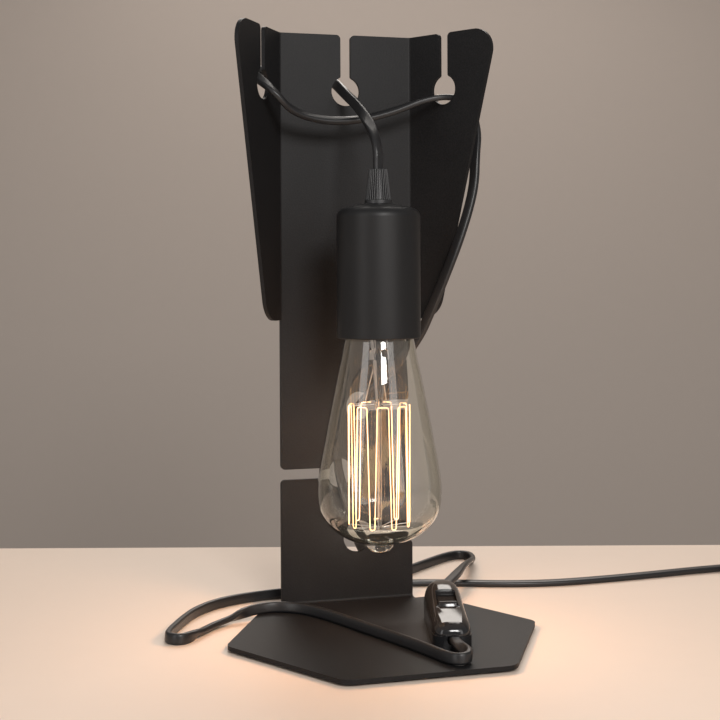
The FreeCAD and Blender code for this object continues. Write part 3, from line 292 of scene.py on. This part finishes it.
# %% [markdown]
# ## The switch on the cord
# The real case is one glossy moulding: a round hump at the far end, sides that lean in,
# and a shallow ramp that leads up to the rocker. Boxes with bevels would keep flat sides
# that catch the light wrongly, so the upper half is laid out as rounded sections along
# its length. The ramp, the rocker's window and the inner room are then cut by Boolean.

# %% Sections of the switch case
CASE_TOP = [(-36.0, 6.6), (-35.8, 8.4), (-35.2, 9.9), (-34.0, 11.2), (-32.0, 12.3), (-29.0, 13.3),
            (-22.0, 14.6), (-10.0, 16.4), (0.0, 17.9), (9.0, 19.6), (16.0, 20.8), (22.0, 21.0),
            (27.0, 20.2), (31.0, 18.2), (33.8, 15.0), (35.4, 11.0), (36.0, 6.6)]
CASE_SIDE = [(-36.0, 3.0), (-35.5, 5.2), (-34.5, 6.8), (-32.0, 8.5), (-28.0, 9.5), (-24.0, 9.8),
             (0.0, 9.8), (24.0, 9.8), (28.0, 9.72), (31.0, 8.8), (33.5, 6.9), (35.2, 4.4), (35.8, 2.4),
             (36.0, 0.7)]
case_split, case_half = 6.5, 36.0


def read_off(line, at):
    """The height of a sloping line of (place, height) points at one place."""
    for (x0, y0), (x1, y1) in zip(line, line[1:]):
        if at <= x1:
            return y0 + (y1 - y0) * max(at - x0, 0) / (x1 - x0)
    return line[-1][1]


switch_x, switch_y, switch_foot = 31.3, -5.3, 3.5
switch_cos, switch_sin = 0.96823, 0.25006


def on_switch(across, along, up):
    """From the switch's own axes, in mm, to the shared frame, in metres."""
    return Vector((switch_x + switch_cos * across + switch_sin * along,
                   switch_y - switch_sin * across + switch_cos * along, switch_foot + up)) * MM


tops = [tuple(p) for p in smooth_profile(CASE_TOP, 6)]
sides = [tuple(p) for p in smooth_profile(CASE_SIDE, 6)]
print("case", read_off(tops, 22.0), "mm high at the hump")


# %% Skin the case and cut it
def solid_from(name, corners, faces):
    mesh = bpy.data.meshes.new(name)
    mesh.from_pydata([on_switch(*c) for c in corners], [], faces)
    piece = bpy.data.objects.new(name, mesh)
    bpy.context.collection.objects.link(piece)
    return piece


def block(name, low_plan, high_plan):
    """A block with four corners below and four above, given as (across, along, up)."""
    faces = [(3, 2, 1, 0), (4, 5, 6, 7), (0, 1, 5, 4), (1, 2, 6, 5), (2, 3, 7, 6), (3, 0, 4, 7)]
    return solid_from(name, low_plan + high_plan, faces)


def upright(name, x0, x1, y0, y1, z0, z1):
    plan = [(x0, y0), (x1, y0), (x1, y1), (x0, y1)]
    return block(name, [(*p, z0) for p in plan], [(*p, z1) for p in plan])


def cut_away(piece, cutters):
    """Takes each cutter out of the piece and leaves a plain mesh."""
    for cutter in cutters:
        cut = piece.modifiers.new("cut", "BOOLEAN")
        cut.operation, cut.object, cut.solver = "DIFFERENCE", cutter, "EXACT"
    mesh = bpy.data.meshes.new_from_object(piece.evaluated_get(bpy.context.evaluated_depsgraph_get()))
    piece.modifiers.clear()
    old, piece.data = piece.data, mesh
    bpy.data.meshes.remove(old)
    for cutter in cutters:
        shape = cutter.data
        bpy.data.objects.remove(cutter)
        bpy.data.meshes.remove(shape)
    mesh.name = piece.name


stations, around = 72, 40
corners, faces = [], []
for i in range(stations + 1):
    along = case_half * math.sin(math.pi * (i / stations - 0.5))
    half, top = read_off(sides, along), read_off(tops, along) - case_split
    for j in range(around + 1):
        angle = math.pi * j / around
        at_seam = j in (0, around)
        wide = 1 - 2 * (j > 0) if at_seam else math.copysign(abs(math.cos(angle)) ** 0.72, math.cos(angle))
        high = 0.0 if at_seam else abs(math.sin(angle)) ** 0.82
        corners.append((half * wide, along, case_split + top * high))
row = around + 1
for i in range(stations):
    for j in range(around):
        a = i * row + j
        faces.append((a, a + row, a + row + 1, a + 1))
    faces.append((i * row, i * row + around, (i + 1) * row + around, (i + 1) * row))
faces.append(tuple(range(row)))
faces.append(tuple(reversed(range(stations * row, stations * row + row))))
switch_top = solid_from("switch_top", corners, faces)
ramp = block("ramp", [(-4.9, -30.8, 11.8), (4.9, -30.8, 11.8), (6.9, -9.0, 15.1), (-6.9, -9.0, 15.1)],
             [(-7.4, -38.0, 30), (7.4, -38.0, 30), (9.4, -9.0, 30), (-9.4, -9.0, 30)])
window = upright("window", -5.2, 5.2, -10.2, 9.2, 5, 30)
room = upright("room", -6.4, 6.4, -24, 24, 5, 10)
far_room = upright("far_room", -6.4, 6.4, 10.7, 24, 5, 13)
far_mouth = upright("far_mouth", -3.2, 3.2, 23, 37, 5, 9.9)
cut_away(switch_top, [ramp, window, room, far_room, far_mouth])
switch_top.data.polygons.foreach_set("use_smooth", [True] * len(switch_top.data.polygons))
switch_top.data.set_sharp_from_angle(angle=math.radians(38))
switch_top.data.materials.clear()
switch_top.data.materials.append(switch_plastic)
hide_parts("switch_upper_shell")
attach(switch_top, "lamp_body")
print("switch case faces", len(switch_top.data.polygons))


# %% [markdown]
# ## The rocker
# The measured rocker has the right shape but knife-sharp edges. Its mesh is copied and
# merged, and a Bevel modifier rounds the edges, as a mould would.

# %% Round the rocker's edges
rocker_mesh = frame["nodes"]["switch_rocker"].data.copy()
welder = bmesh.new()
welder.from_mesh(rocker_mesh)
bmesh.ops.remove_doubles(welder, verts=welder.verts, dist=0.000005)
bmesh.ops.dissolve_limit(welder, angle_limit=math.radians(0.5), verts=welder.verts, edges=welder.edges)
welder.to_mesh(rocker_mesh)
welder.free()
rocker = bpy.data.objects.new("smooth_rocker", rocker_mesh)
bpy.context.collection.objects.link(rocker)
soften = rocker.modifiers.new("soften", "BEVEL")
soften.width, soften.segments, soften.limit_method = 0.9 * MM, 3, "ANGLE"
soften.angle_limit = math.radians(35)
rounded = bpy.data.meshes.new_from_object(rocker.evaluated_get(bpy.context.evaluated_depsgraph_get()))
rocker.modifiers.clear()
rocker.data = rounded
bpy.data.meshes.remove(rocker_mesh)
rounded.name = "smooth_rocker"
rounded.polygons.foreach_set("use_smooth", [True] * len(rounded.polygons))
rounded.set_sharp_from_angle(angle=math.radians(45))
rounded.materials.clear()
rounded.materials.append(switch_plastic)
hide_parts("switch_rocker")
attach(rocker, "rocker")
print("rocker faces", len(rounded.polygons))


# %% [markdown]
# ## The flat cord
# The cord is a flat two-core lead, 5.8 mm wide and 3.3 mm thick. Its route is a smooth
# spline through the air, the keyholes and over the table. A flat cord can't be a round
# bevel, so its section is swept along points read from the spline, and a hint at each
# route point says which way its wide side faces: on edge where it stands on the table,
# flat where it enters the switch.

# %% Read a smooth line from a route
def smooth_line(name, points):
    """The points of a smooth spline whose control points are the route, in metres."""
    data = bpy.data.curves.new(name + "_line", "CURVE")
    data.dimensions = "3D"
    data.resolution_u = 10
    spline = data.splines.new("NURBS")
    spline.points.add(len(points) - 1)
    for knot, place in zip(spline.points, points):
        knot.co = (*place, 1.0)
    spline.order_u = 3
    spline.use_endpoint_u = True
    carrier = bpy.data.objects.new(name + "_line", data)
    bpy.context.collection.objects.link(carrier)
    mesh = bpy.data.meshes.new_from_object(carrier.evaluated_get(bpy.context.evaluated_depsgraph_get()))
    line = [v.co.copy() for v in mesh.vertices]
    bpy.data.meshes.remove(mesh)
    bpy.data.objects.remove(carrier)
    bpy.data.curves.remove(data)
    return line


def line_length(line):
    return sum((b - a).length for a, b in zip(line, line[1:]))


# %% Sweep the flat section
def flat_section(width, thickness, corner, steps=4):
    """A flat cord's outline: flat faces with rounded corners, as (across, through) pairs."""
    half_w, half_t = width / 2 - corner, thickness / 2 - corner
    ring = []
    for turn, (side_w, side_t) in enumerate(((1, -1), (1, 1), (-1, 1), (-1, -1))):
        for k in range(steps + 1):
            angle = math.radians(-90 + 90 * turn + 90 * k / steps)
            ring.append((side_w * half_w + corner * math.cos(angle),
                         side_t * half_t + corner * math.sin(angle)))
    return ring


def sweep_flat(name, line, hints, section):
    """A closed tube of the section along the line; hints steer its wide side."""
    count, wide = len(line), len(section)
    spans = len(hints) - 2
    verts, faces = [], []
    for i, place in enumerate(line):
        ahead = (line[min(i + 1, count - 1)] - line[max(i - 1, 0)]).normalized()
        at = min(max(i / (count - 1) * spans + 0.5, 0), spans + 1)
        low = min(int(at), len(hints) - 2)
        hint = hints[low].lerp(hints[low + 1], at - low)
        across = (hint - ahead * hint.dot(ahead)).normalized()
        through = ahead.cross(across)
        verts += [place + across * a + through * b for a, b in section]
    for i in range(count - 1):
        for j in range(wide):
            k = (j + 1) % wide
            faces.append((i * wide + j, i * wide + k, (i + 1) * wide + k, (i + 1) * wide + j))
    last = (count - 1) * wide
    caps = [verts[j] for j in range(wide)] + [verts[last + j] for j in range(wide)]
    faces.append(tuple(reversed(range(count * wide, count * wide + wide))))
    faces.append(tuple(range(count * wide + wide, count * wide + 2 * wide)))
    verts += [v.copy() for v in caps]
    mesh = bpy.data.meshes.new(name)
    mesh.from_pydata(verts, [], faces)
    mesh.polygons.foreach_set("use_smooth", [len(p.vertices) == 4 for p in mesh.polygons])
    piece = bpy.data.objects.new(name, mesh)
    bpy.context.collection.objects.link(piece)
    mesh.materials.append(cord_skin)
    return piece


def spread_hints(runs):
    """One hint per route point, from (how many points, direction) pairs."""
    return [Vector(way) for times, way in runs for _ in range(times)]


cord_w, cord_t = 5.8 * MM, 3.3 * MM
cord_section = flat_section(cord_w, cord_t, 1.25 * MM)
print("cord section has", len(cord_section), "points")

# %% [markdown]
# ### From the holder to the switch
# The cord rises from the grip, goes back through the middle keyhole, round behind the
# sheet, in through the left wing, sags across to the right wing, runs down outside it
# and round its edge, and weaves down through the three side keyholes to the table.

# %% Route of the lamp cord
LAMP_ROUTE = [(-1, 6.6, 249.6), (-1.3, 7.2, 259.5), (-1.6, 38, 278.5), (-2.6, 64, 288.9),
              (-5.2, 84.4, 299.8), (-18, 97, 306), (-38, 97, 305), (-56, 82, 303), (-61.6, 58.5, 301.5),
              (-47.6, 41.5, 286.2), (-37.5, 47.5, 276.5), (-18, 51, 272.2), (2, 51.5, 273.2), (22, 51, 278.6),
              (38, 50.5, 285.0), (52.6, 49.0, 287.8), (66.6, 57.5, 286.0), (70.5, 50, 270), (67.3, 45.5, 253),
              (66.6, 44.5, 240), (63.4, 44, 226), (57.2, 43.5, 208), (50.2, 44.5, 190), (43.3, 48, 171.5),
              (35.5, 54, 150), (18, 59.1, 130), (-8, 89.1, 95), (-4, 59.1, 57.6), (15, 89.1, 22),
              (46, 128, 3.6), (62, 144, 2.95), (79, 159, 2.95), (92, 170, 2.95), (102, 175.5, 2.95),
              (108.5, 172, 2.95), (108.5, 162, 3.1), (102.5, 148.5, 4.2), (92, 126, 8.7), (78, 98, 12.6),
              (66, 76, 13), (53, 57.5, 12.2), (41.8, 35.4, 11.5), (36.3, 14.1, 11.5)]
hint_runs = [(2, (0.8, 0.6, 0)), (3, (0.45, -0.2, 0.9)), (4, (0, 0.6, 0.8)), (3, (0, 0.8, 0.6)),
             (2, (0, 0.9, 0.4)), (3, (0, 1, 0.1)), (8, (0.54, -0.84, 0.1)), (4, (1, 0.1, 0)), (7, (0, 0, 1)),
             (3, (0.6, -0.6, 0.6)), (4, (0.968, -0.25, 0))]
lamp_hints = spread_hints(hint_runs)
print(len(LAMP_ROUTE), "route points,", len(lamp_hints), "hints")
lamp_line = smooth_line("lamp_cord", [Vector(p) * MM for p in LAMP_ROUTE])
lamp_cord = sweep_flat("flat_cord_lamp", lamp_line, lamp_hints, cord_section)
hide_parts("lamp_cord")
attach(lamp_cord, "lamp_body")
print("lamp cord length", round(line_length(lamp_line), 4))

# %% [markdown]
# ### From the switch to the plug
# The mains side folds flat in front of the switch, crosses the base, loops on the table
# at the left and runs off to the right. What the portrait doesn't show is wound into a
# small coil with the plug beside it.

# %% Route of the mains cord
MAINS_ROUTE = [(26.3, -24.7, 8.3), (21.4, -45.5, 8.3), (23.6, -65.6, 7.2), (13.4, -68.4, 6.6),
               (7.6, -46.5, 6.45), (0.2, -25, 6.45), (-11.2, 5, 6.45), (-20, 29, 6.45), (-30, 50, 6.45),
               (-45, 60, 6.6), (-60, 57, 6.0), (-73, 52.5, 3.0), (-83.5, 43.5, 2.4), (-91, 33.5, 2.5),
               (-98.3, 22.6, 3.0), (-104.4, 20.0, 2.95), (-109.3, 25.6, 2.95), (-107.0, 34, 2.95),
               (-102.5, 44, 2.95), (-96.5, 57, 2.95), (-88, 73, 2.95), (-74, 89, 2.95), (-54, 99.5, 2.95),
               (-26, 104.5, 2.95), (10, 110, 2.6), (45, 112.5, 1.9), (76, 103, 1.8), (102, 92, 1.8),
               (132, 85.5, 1.8), (165, 86, 1.8), (200, 88.5, 1.9), (235, 91.5, 2.1), (269, 91.5, 2.3)]
coil_r, coil_step, coil_layer, coil_turns = 28.5, 6.6, 5.1, 2.25
coil_shift, coil_climb, coil_flare, cord_d = 2.0, 150.0, 8.0, 4.6
coil_angle = 360.0 * coil_turns
coil_centre = Vector((269 + cord_d, 91.5 - coil_r, 2.3))


def coil_point(turned):
    """In on the floor, up a layer, and out again on top."""
    inwards = min(turned, coil_angle - turned)
    share = min(max((turned - coil_angle / 2 + coil_climb / 2) / coil_climb, 0), 1)
    ease = share * share * (3 - 2 * share)
    radius = coil_r - coil_step * inwards / 360 + coil_shift * ease
    leaving = max(turned - (coil_angle - 120), 0) / 120
    radius += coil_flare * leaving * leaving
    angle = math.radians(90 - turned)
    return coil_centre + Vector((radius * math.cos(angle), radius * math.sin(angle), coil_layer * ease))


coil_points = [coil_point(k * 27.0) for k in range(31)]
coil_way = (coil_points[-1] - coil_points[-2]).normalized()
coil_way.z = 0
coil_points.append(coil_points[-1] + coil_way * 7.0)
coil_hints = [Vector((math.cos(math.radians(90 - k * 27)), math.sin(math.radians(90 - k * 27)), 0))
              for k in range(32)]
mains_runs = [(2, (0.968, -0.25, 0)), (9, (0.1, 0.15, 1)), (3, (0.6, -0.7, 0.35)), (9, (0.1, 0.1, 1)),
              (1, (0, 0.5, 0.8)), (9, (0.1, 1, 0.1))]
mains_hints = spread_hints(mains_runs)
mains_line = smooth_line("mains_cord", [Vector(p) * MM for p in MAINS_ROUTE] + [p * MM for p in coil_points])
mains_cord = sweep_flat("flat_cord_mains", mains_line, mains_hints + coil_hints, cord_section)
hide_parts("mains_cord", "cord_coil")
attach(mains_cord, "lamp_body")
print("mains cord length", round(line_length(mains_line), 4), "hints", len(mains_hints) + len(coil_hints))

# %% The short moving length above the grip
stub_line = [Vector((-1, 6.6, 238.0 + k)) * MM for k in range(14)]
stub = sweep_flat("flat_cord_stub", stub_line, [Vector((0.85, 0.5, 0))] * 4, cord_section)
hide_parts("cord_pivot")
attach(stub, "cord_pivot")
print("stub from", stub_line[0].z, "to", stub_line[-1].z)


# %% [markdown]
# ## The glass bulb
# The bulb is a long pear of thin clear glass with a sealed tip. Its outline is turned
# about the holder's axis. Two walls, one inside the other, make the refraction of a
# hollow bulb instead of that of a solid lens.

# %% Turn the glass
GLASS_LINE = [(12.45, 171.0), (12.5, 168.0), (12.65, 165.3), (13.6, 163.0), (15.2, 160.3), (16.8, 157.8),
              (18.0, 155.4), (20.2, 144.0), (22.5, 133.6), (24.5, 123.2), (26.6, 112.8), (28.5, 102.4),
              (30.5, 92.0), (31.9, 82.5), (32.3, 74.5), (31.3, 66.5), (28.1, 60.3), (23.3, 55.4),
              (17.3, 51.6), (12.0, 49.8), (7.8, 48.9), (6.9, 46.9), (5.2, 45.0), (2.8, 43.8), (0.0, 43.4)]
axis_x, axis_y = -1.0, 6.6


def turned(name, profile, material, around=72):
    """A closed surface of revolution about the holder's axis, from (radius, height) pairs."""
    verts, faces, rings = [], [], []
    for r, z in profile:
        if r < 1e-6:
            rings.append([len(verts)])
            verts.append((axis_x * MM, axis_y * MM, z * MM))
            continue
        rings.append(list(range(len(verts), len(verts) + around)))
        for k in range(around):
            a = 2 * math.pi * k / around
            verts.append(((axis_x + r * math.cos(a)) * MM, (axis_y + r * math.sin(a)) * MM, z * MM))
    for upper, lower in zip(rings, rings[1:]):
        for k in range(around):
            n = (k + 1) % around
            corners = [upper[k % len(upper)], lower[k % len(lower)],
                       lower[n % len(lower)], upper[n % len(upper)]]
            kept = [c for i, c in enumerate(corners) if c != corners[i - 1]]
            faces.append(kept)
    mesh = bpy.data.meshes.new(name)
    mesh.from_pydata(verts, [], faces)
    mesh.polygons.foreach_set("use_smooth", [True] * len(mesh.polygons))
    mesh.materials.append(material)
    piece = bpy.data.objects.new(name, mesh)
    bpy.context.collection.objects.link(piece)
    return piece


outer = smooth_profile(GLASS_LINE, 4)
wall = 0.8
inner = []
for i, point in enumerate(outer):
    along = (outer[min(i + 1, len(outer) - 1)] - outer[max(i - 1, 0)]).normalized()
    inner.append(Vector((max(point.x + along.y * wall, 0.0), point.y - along.x * wall)))
inner = [p for p in inner if p.y > 50.2 and p.x > 0] + [Vector((7.0, 49.8)), Vector((0.0, 49.6))]
profile = [tuple(p) for p in reversed(inner)] + [tuple(p) for p in outer]
glass = turned("clear_bulb", profile, bulb_glass)
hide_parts("bulb_glass")
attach(glass, "bulb")
print("bulb faces", len(glass.data.polygons))

# %% [markdown]
# ## The glowing wire
# One fine wire runs up and down between the hooks and makes a hairpin bend at each.
# Drawing every strand by hand would be slow and hard to change, so a Geometry Nodes tree
# lays two points at each hook, one on each side of the bend, rounds the corners and gives
# the line its thickness. Its inputs are the numbers one would measure on the bulb.

# %% Small helpers for Geometry Nodes trees
def start_tree(name, inputs):
    """An empty geometry tree with named inputs; returns the tree and its input sockets."""
    tree = bpy.data.node_groups.new(name, "GeometryNodeTree")
    tree.interface.new_socket("Geometry", in_out="INPUT", socket_type="NodeSocketGeometry")
    for title, kind in inputs:
        tree.interface.new_socket(title, in_out="INPUT", socket_type=kind)
    tree.interface.new_socket("Geometry", in_out="OUTPUT", socket_type="NodeSocketGeometry")
    return tree, node(tree, "NodeGroupInput").outputs


def reckon(tree, operation, *values):
    """One Math node fed with numbers or other nodes' outputs."""
    return feed(tree, node(tree, "ShaderNodeMath", operation=operation), dict(enumerate(values))).outputs[0]


def grow(name, tree, settings, start_mesh=None):
    """Runs a tree on an object and keeps the result as a plain mesh."""
    piece = bpy.data.objects.new(name, start_mesh or bpy.data.meshes.new(name + "_start"))
    bpy.context.collection.objects.link(piece)
    nodes = piece.modifiers.new(name, "NODES")
    nodes.node_group = tree
    for item in tree.interface.items_tree:
        if item.in_out == "INPUT" and item.name in settings:
            nodes[item.identifier] = settings[item.name]
    mesh = bpy.data.meshes.new_from_object(piece.evaluated_get(bpy.context.evaluated_depsgraph_get()))
    piece.modifiers.clear()
    old, piece.data = piece.data, mesh
    bpy.data.meshes.remove(old)
    mesh.name = name
    return piece


# %% The hairpin tree
def hairpin_tree():
    lengths = ("Cage radius", "Top", "Bottom", "Top bend", "Bottom bend", "Wire radius")
    tree, enter = start_tree("hairpins", [("Hooks", "NodeSocketInt"), ("Step", "NodeSocketFloat"),
                                          ("Start", "NodeSocketFloat")]
                             + [(title, "NodeSocketFloat") for title in lengths]
                             + [("Metal", "NodeSocketMaterial")])
    index = node(tree, "GeometryNodeInputIndex").outputs[0]
    hook = reckon(tree, "FLOOR", reckon(tree, "DIVIDE", index, 2.0))
    side = reckon(tree, "MULTIPLY_ADD", reckon(tree, "MODULO", index, 2.0), 2.0, -1.0)
    low = reckon(tree, "MODULO", hook, 2.0)
    tighter = reckon(tree, "SUBTRACT", enter["Bottom bend"], enter["Top bend"])
    bend = reckon(tree, "MULTIPLY_ADD", low, tighter, enter["Top bend"])
    drop = reckon(tree, "SUBTRACT", enter["Bottom"], enter["Top"])
    height = reckon(tree, "MULTIPLY_ADD", low, drop, enter["Top"])
    swing = reckon(tree, "MULTIPLY", side, reckon(tree, "DIVIDE", bend, enter["Cage radius"]))
    angle = reckon(tree, "ADD", reckon(tree, "MULTIPLY_ADD", hook, enter["Step"], enter["Start"]), swing)
    cosine, sine = reckon(tree, "COSINE", angle), reckon(tree, "SINE", angle)
    place = feed(tree, node(tree, "ShaderNodeCombineXYZ"),
                 {"X": reckon(tree, "MULTIPLY_ADD", cosine, enter["Cage radius"], axis_x * MM),
                  "Y": reckon(tree, "MULTIPLY_ADD", sine, enter["Cage radius"], axis_y * MM),
                  "Z": height})
    points = feed(tree, node(tree, "GeometryNodeMeshLine"),
                  {"Count": reckon(tree, "MULTIPLY", enter["Hooks"], 2.0)})
    laid = feed(tree, node(tree, "GeometryNodeSetPosition"),
                {"Geometry": points.outputs[0], "Position": place.outputs[0]})
    line = feed(tree, node(tree, "GeometryNodeMeshToCurve"), {"Mesh": laid.outputs[0]})
    soft = feed(tree, node(tree, "GeometryNodeFilletCurve"),
                {"Curve": line.outputs[0], "Radius": enter["Bottom bend"], "Limit Radius": True})
    soft.mode = "POLY"
    soft.inputs["Count"].default_value = 4
    ring = feed(tree, node(tree, "GeometryNodeCurvePrimitiveCircle"),
                {"Resolution": 6, "Radius": enter["Wire radius"]})
    wire = feed(tree, node(tree, "GeometryNodeCurveToMesh"),
                {"Curve": soft.outputs[0], "Profile Curve": ring.outputs[0], "Fill Caps": True})
    real = feed(tree, node(tree, "GeometryNodeRealizeInstances"), {"Geometry": wire.outputs[0]})
    painted = feed(tree, node(tree, "GeometryNodeSetMaterial"),
                   {"Geometry": real.outputs[0], "Material": enter["Metal"]})
    feed(tree, node(tree, "NodeGroupOutput"), {"Geometry": painted.outputs[0]})
    return tree


wire = grow("glowing_wire", hairpin_tree(),
            {"Hooks": 18, "Step": math.radians(20), "Start": math.radians(100), "Cage radius": 16.1 * MM,
             "Top": 120.6 * MM, "Bottom": 58.2 * MM, "Top bend": 2.9 * MM, "Bottom bend": 1.25 * MM,
             "Wire radius": 0.25 * MM, "Metal": hot_wire})
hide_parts("filament")
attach(wire, "bulb")
print("wire faces", len(wire.data.polygons))

# %% [markdown]
# ## The ribbed cord grip
# The grip is a slim cone with fine round ribs that catch the fingers, above a plain
# collar. One rib is a short tapered rod, and Geometry Nodes set it round the axis as many
# times as the grip has ribs, so that the count is one number to change.

# %% The rib tree
def rib_tree():
    lengths = ("Foot radius", "Head radius", "Foot height", "Head height", "Rib radius")
    tree, enter = start_tree("grip_ribs", [("Ribs", "NodeSocketInt")]
                             + [(title, "NodeSocketFloat") for title in lengths]
                             + [("Plastic", "NodeSocketMaterial")])
    foot = feed(tree, node(tree, "ShaderNodeCombineXYZ"),
                {"X": enter["Foot radius"], "Z": enter["Foot height"]})
    head = feed(tree, node(tree, "ShaderNodeCombineXYZ"),
                {"X": enter["Head radius"], "Z": enter["Head height"]})
    line = feed(tree, node(tree, "GeometryNodeCurvePrimitiveLine"),
                {"Start": foot.outputs[0], "End": head.outputs[0]})
    ring = feed(tree, node(tree, "GeometryNodeCurvePrimitiveCircle"),
                {"Resolution": 10, "Radius": enter["Rib radius"]})
    rib = feed(tree, node(tree, "GeometryNodeCurveToMesh"),
               {"Curve": line.outputs[0], "Profile Curve": ring.outputs[0], "Fill Caps": True})
    dots = feed(tree, node(tree, "GeometryNodePoints"),
                {"Count": enter["Ribs"], "Position": (axis_x * MM, axis_y * MM, 0.0)})
    index = node(tree, "GeometryNodeInputIndex").outputs[0]
    spin = feed(tree, node(tree, "ShaderNodeCombineXYZ"),
                {"Z": reckon(tree, "MULTIPLY", index, reckon(tree, "DIVIDE", 2 * math.pi, enter["Ribs"]))})
    ribs = feed(tree, node(tree, "GeometryNodeInstanceOnPoints"),
                {"Points": dots.outputs[0], "Instance": rib.outputs[0], "Rotation": spin.outputs[0]})
    both = node(tree, "GeometryNodeJoinGeometry")
    tree.links.new(ribs.outputs[0], both.inputs[0])
    tree.links.new(enter["Geometry"], both.inputs[0])
    real = feed(tree, node(tree, "GeometryNodeRealizeInstances"), {"Geometry": both.outputs[0]})
    painted = feed(tree, node(tree, "GeometryNodeSetMaterial"),
                   {"Geometry": real.outputs[0], "Material": enter["Plastic"]})
    feed(tree, node(tree, "NodeGroupOutput"), {"Geometry": painted.outputs[0]})
    return tree


GRIP_LINE = [(0.0, 243.0), (4.5, 243.0), (4.6, 242.8), (4.2, 242.5), (5.95, 227.2), (6.9, 227.1),
             (7.1, 226.9), (7.1, 225.2), (6.9, 225.0), (0.0, 225.0)]
grip_core = turned("grip_core", GRIP_LINE, grip_plastic)
core_mesh = grip_core.data.copy()
bpy.data.objects.remove(grip_core)
grip = grow("ribbed_grip", rib_tree(),
            {"Ribs": 32, "Foot radius": 6.5 * MM, "Head radius": 4.72 * MM, "Foot height": 226.9 * MM,
             "Head height": 242.8 * MM, "Rib radius": 0.34 * MM, "Plastic": grip_plastic}, core_mesh)
grip.data.polygons.foreach_set("use_smooth", [True] * len(grip.data.polygons))
grip.data.set_sharp_from_angle(angle=math.radians(40))
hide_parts("cord_grip")
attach(grip, "holder")
print("grip faces", len(grip.data.polygons))

# %% [markdown]
# ## The set: table, backdrop and light
# A pale table runs back to a plain backdrop. A soft lamp in front, a tall box on each side,
# a large soft lamp behind and an even world light the object plainly. A small warm lamp
# inside the bulb stands for the light that the glowing wire throws on the base.

# %% Table and backdrop
def plain_stage(name, corners, colour, roughness):
    mesh = bpy.data.meshes.new(name)
    mesh.from_pydata(corners, [], [tuple(range(len(corners)))])
    sheet = bpy.data.objects.new(name, mesh)
    bpy.context.collection.objects.link(sheet)
    mesh.materials.append(grained(name, colour, roughness, 60.0, 0.0, spread=0.03, rough_spread=0.02,
                                  dust=0.0))
    return sheet


turn = math.radians(camera_turn)
right, back = Vector((math.cos(turn), math.sin(turn), 0)), Vector((-math.sin(turn), math.cos(turn), 0))
near, far, half = -1.2, 0.239, 2.2
table = plain_stage("table", [right * -half + back * near, right * half + back * near,
                              right * half + back * far, right * -half + back * far],
                    (0.74, 0.61, 0.51), 0.5)
wall_at, wall_foot, wall_head = 1.6, -0.8, 2.6
backdrop = plain_stage("backdrop", [right * -half * 2 + back * wall_at + Vector((0, 0, wall_foot)),
                                    right * half * 2 + back * wall_at + Vector((0, 0, wall_foot)),
                                    right * half * 2 + back * wall_at + Vector((0, 0, wall_head)),
                                    right * -half * 2 + back * wall_at + Vector((0, 0, wall_head))],
                       (0.50, 0.43, 0.38), 0.9)
print("table reaches", far, "m behind the lamp")


# %% Lamps and world
def soft_lamp(name, place, aim, size, power, colour):
    data = bpy.data.lights.new(name, "AREA")
    data.shape, (data.size, data.size_y) = "RECTANGLE", size
    data.energy, data.color = power, colour
    lamp = bpy.data.objects.new(name, data)
    lamp.location = place
    lamp.rotation_euler = (Vector(aim) - Vector(place)).to_track_quat("-Z", "Y").to_euler()
    bpy.context.collection.objects.link(lamp)
    return lamp


soft_lamp("key", (-0.05, -1.15, 0.68), (0, 0, 0.2), (0.32, 0.32), 10.0, (1.0, 0.98, 0.96))
soft_lamp("left box", (-0.95, -0.55, 0.50), (0, 0, 0.2), (0.40, 0.9), 2.6, (1.0, 0.98, 0.96))
soft_lamp("right box", (0.38, -1.03, 0.50), (0, 0, 0.2), (0.40, 0.9), 2.6, (1.0, 0.97, 0.94))
soft_lamp("back", (0.35, 1.1, 1.2), (0, 0.1, 0.1), (1.0, 1.0), 14.0, (1.0, 0.94, 0.88))
glow = bpy.data.lights.new("glow", "POINT")
glow.energy, glow.color, glow.shadow_soft_size = 0.55, (1.0, 0.52, 0.24), 0.016
glow_lamp = bpy.data.objects.new("glow", glow)
glow_lamp.location = (axis_x * MM, axis_y * MM, 0.088)
bpy.context.collection.objects.link(glow_lamp)
glow_lamp.visible_camera = glow_lamp.visible_transmission = glow_lamp.visible_glossy = False
world = bpy.data.worlds.new("studio")
bpy.context.scene.world = world
world.use_nodes = True
feed(world.node_tree, world.node_tree.nodes["Background"],
     {"Color": (0.86, 0.84, 0.82, 1.0), "Strength": 0.32})
bpy.context.scene.view_settings.view_transform = "Standard"
print("lamps:", len(bpy.data.lights))
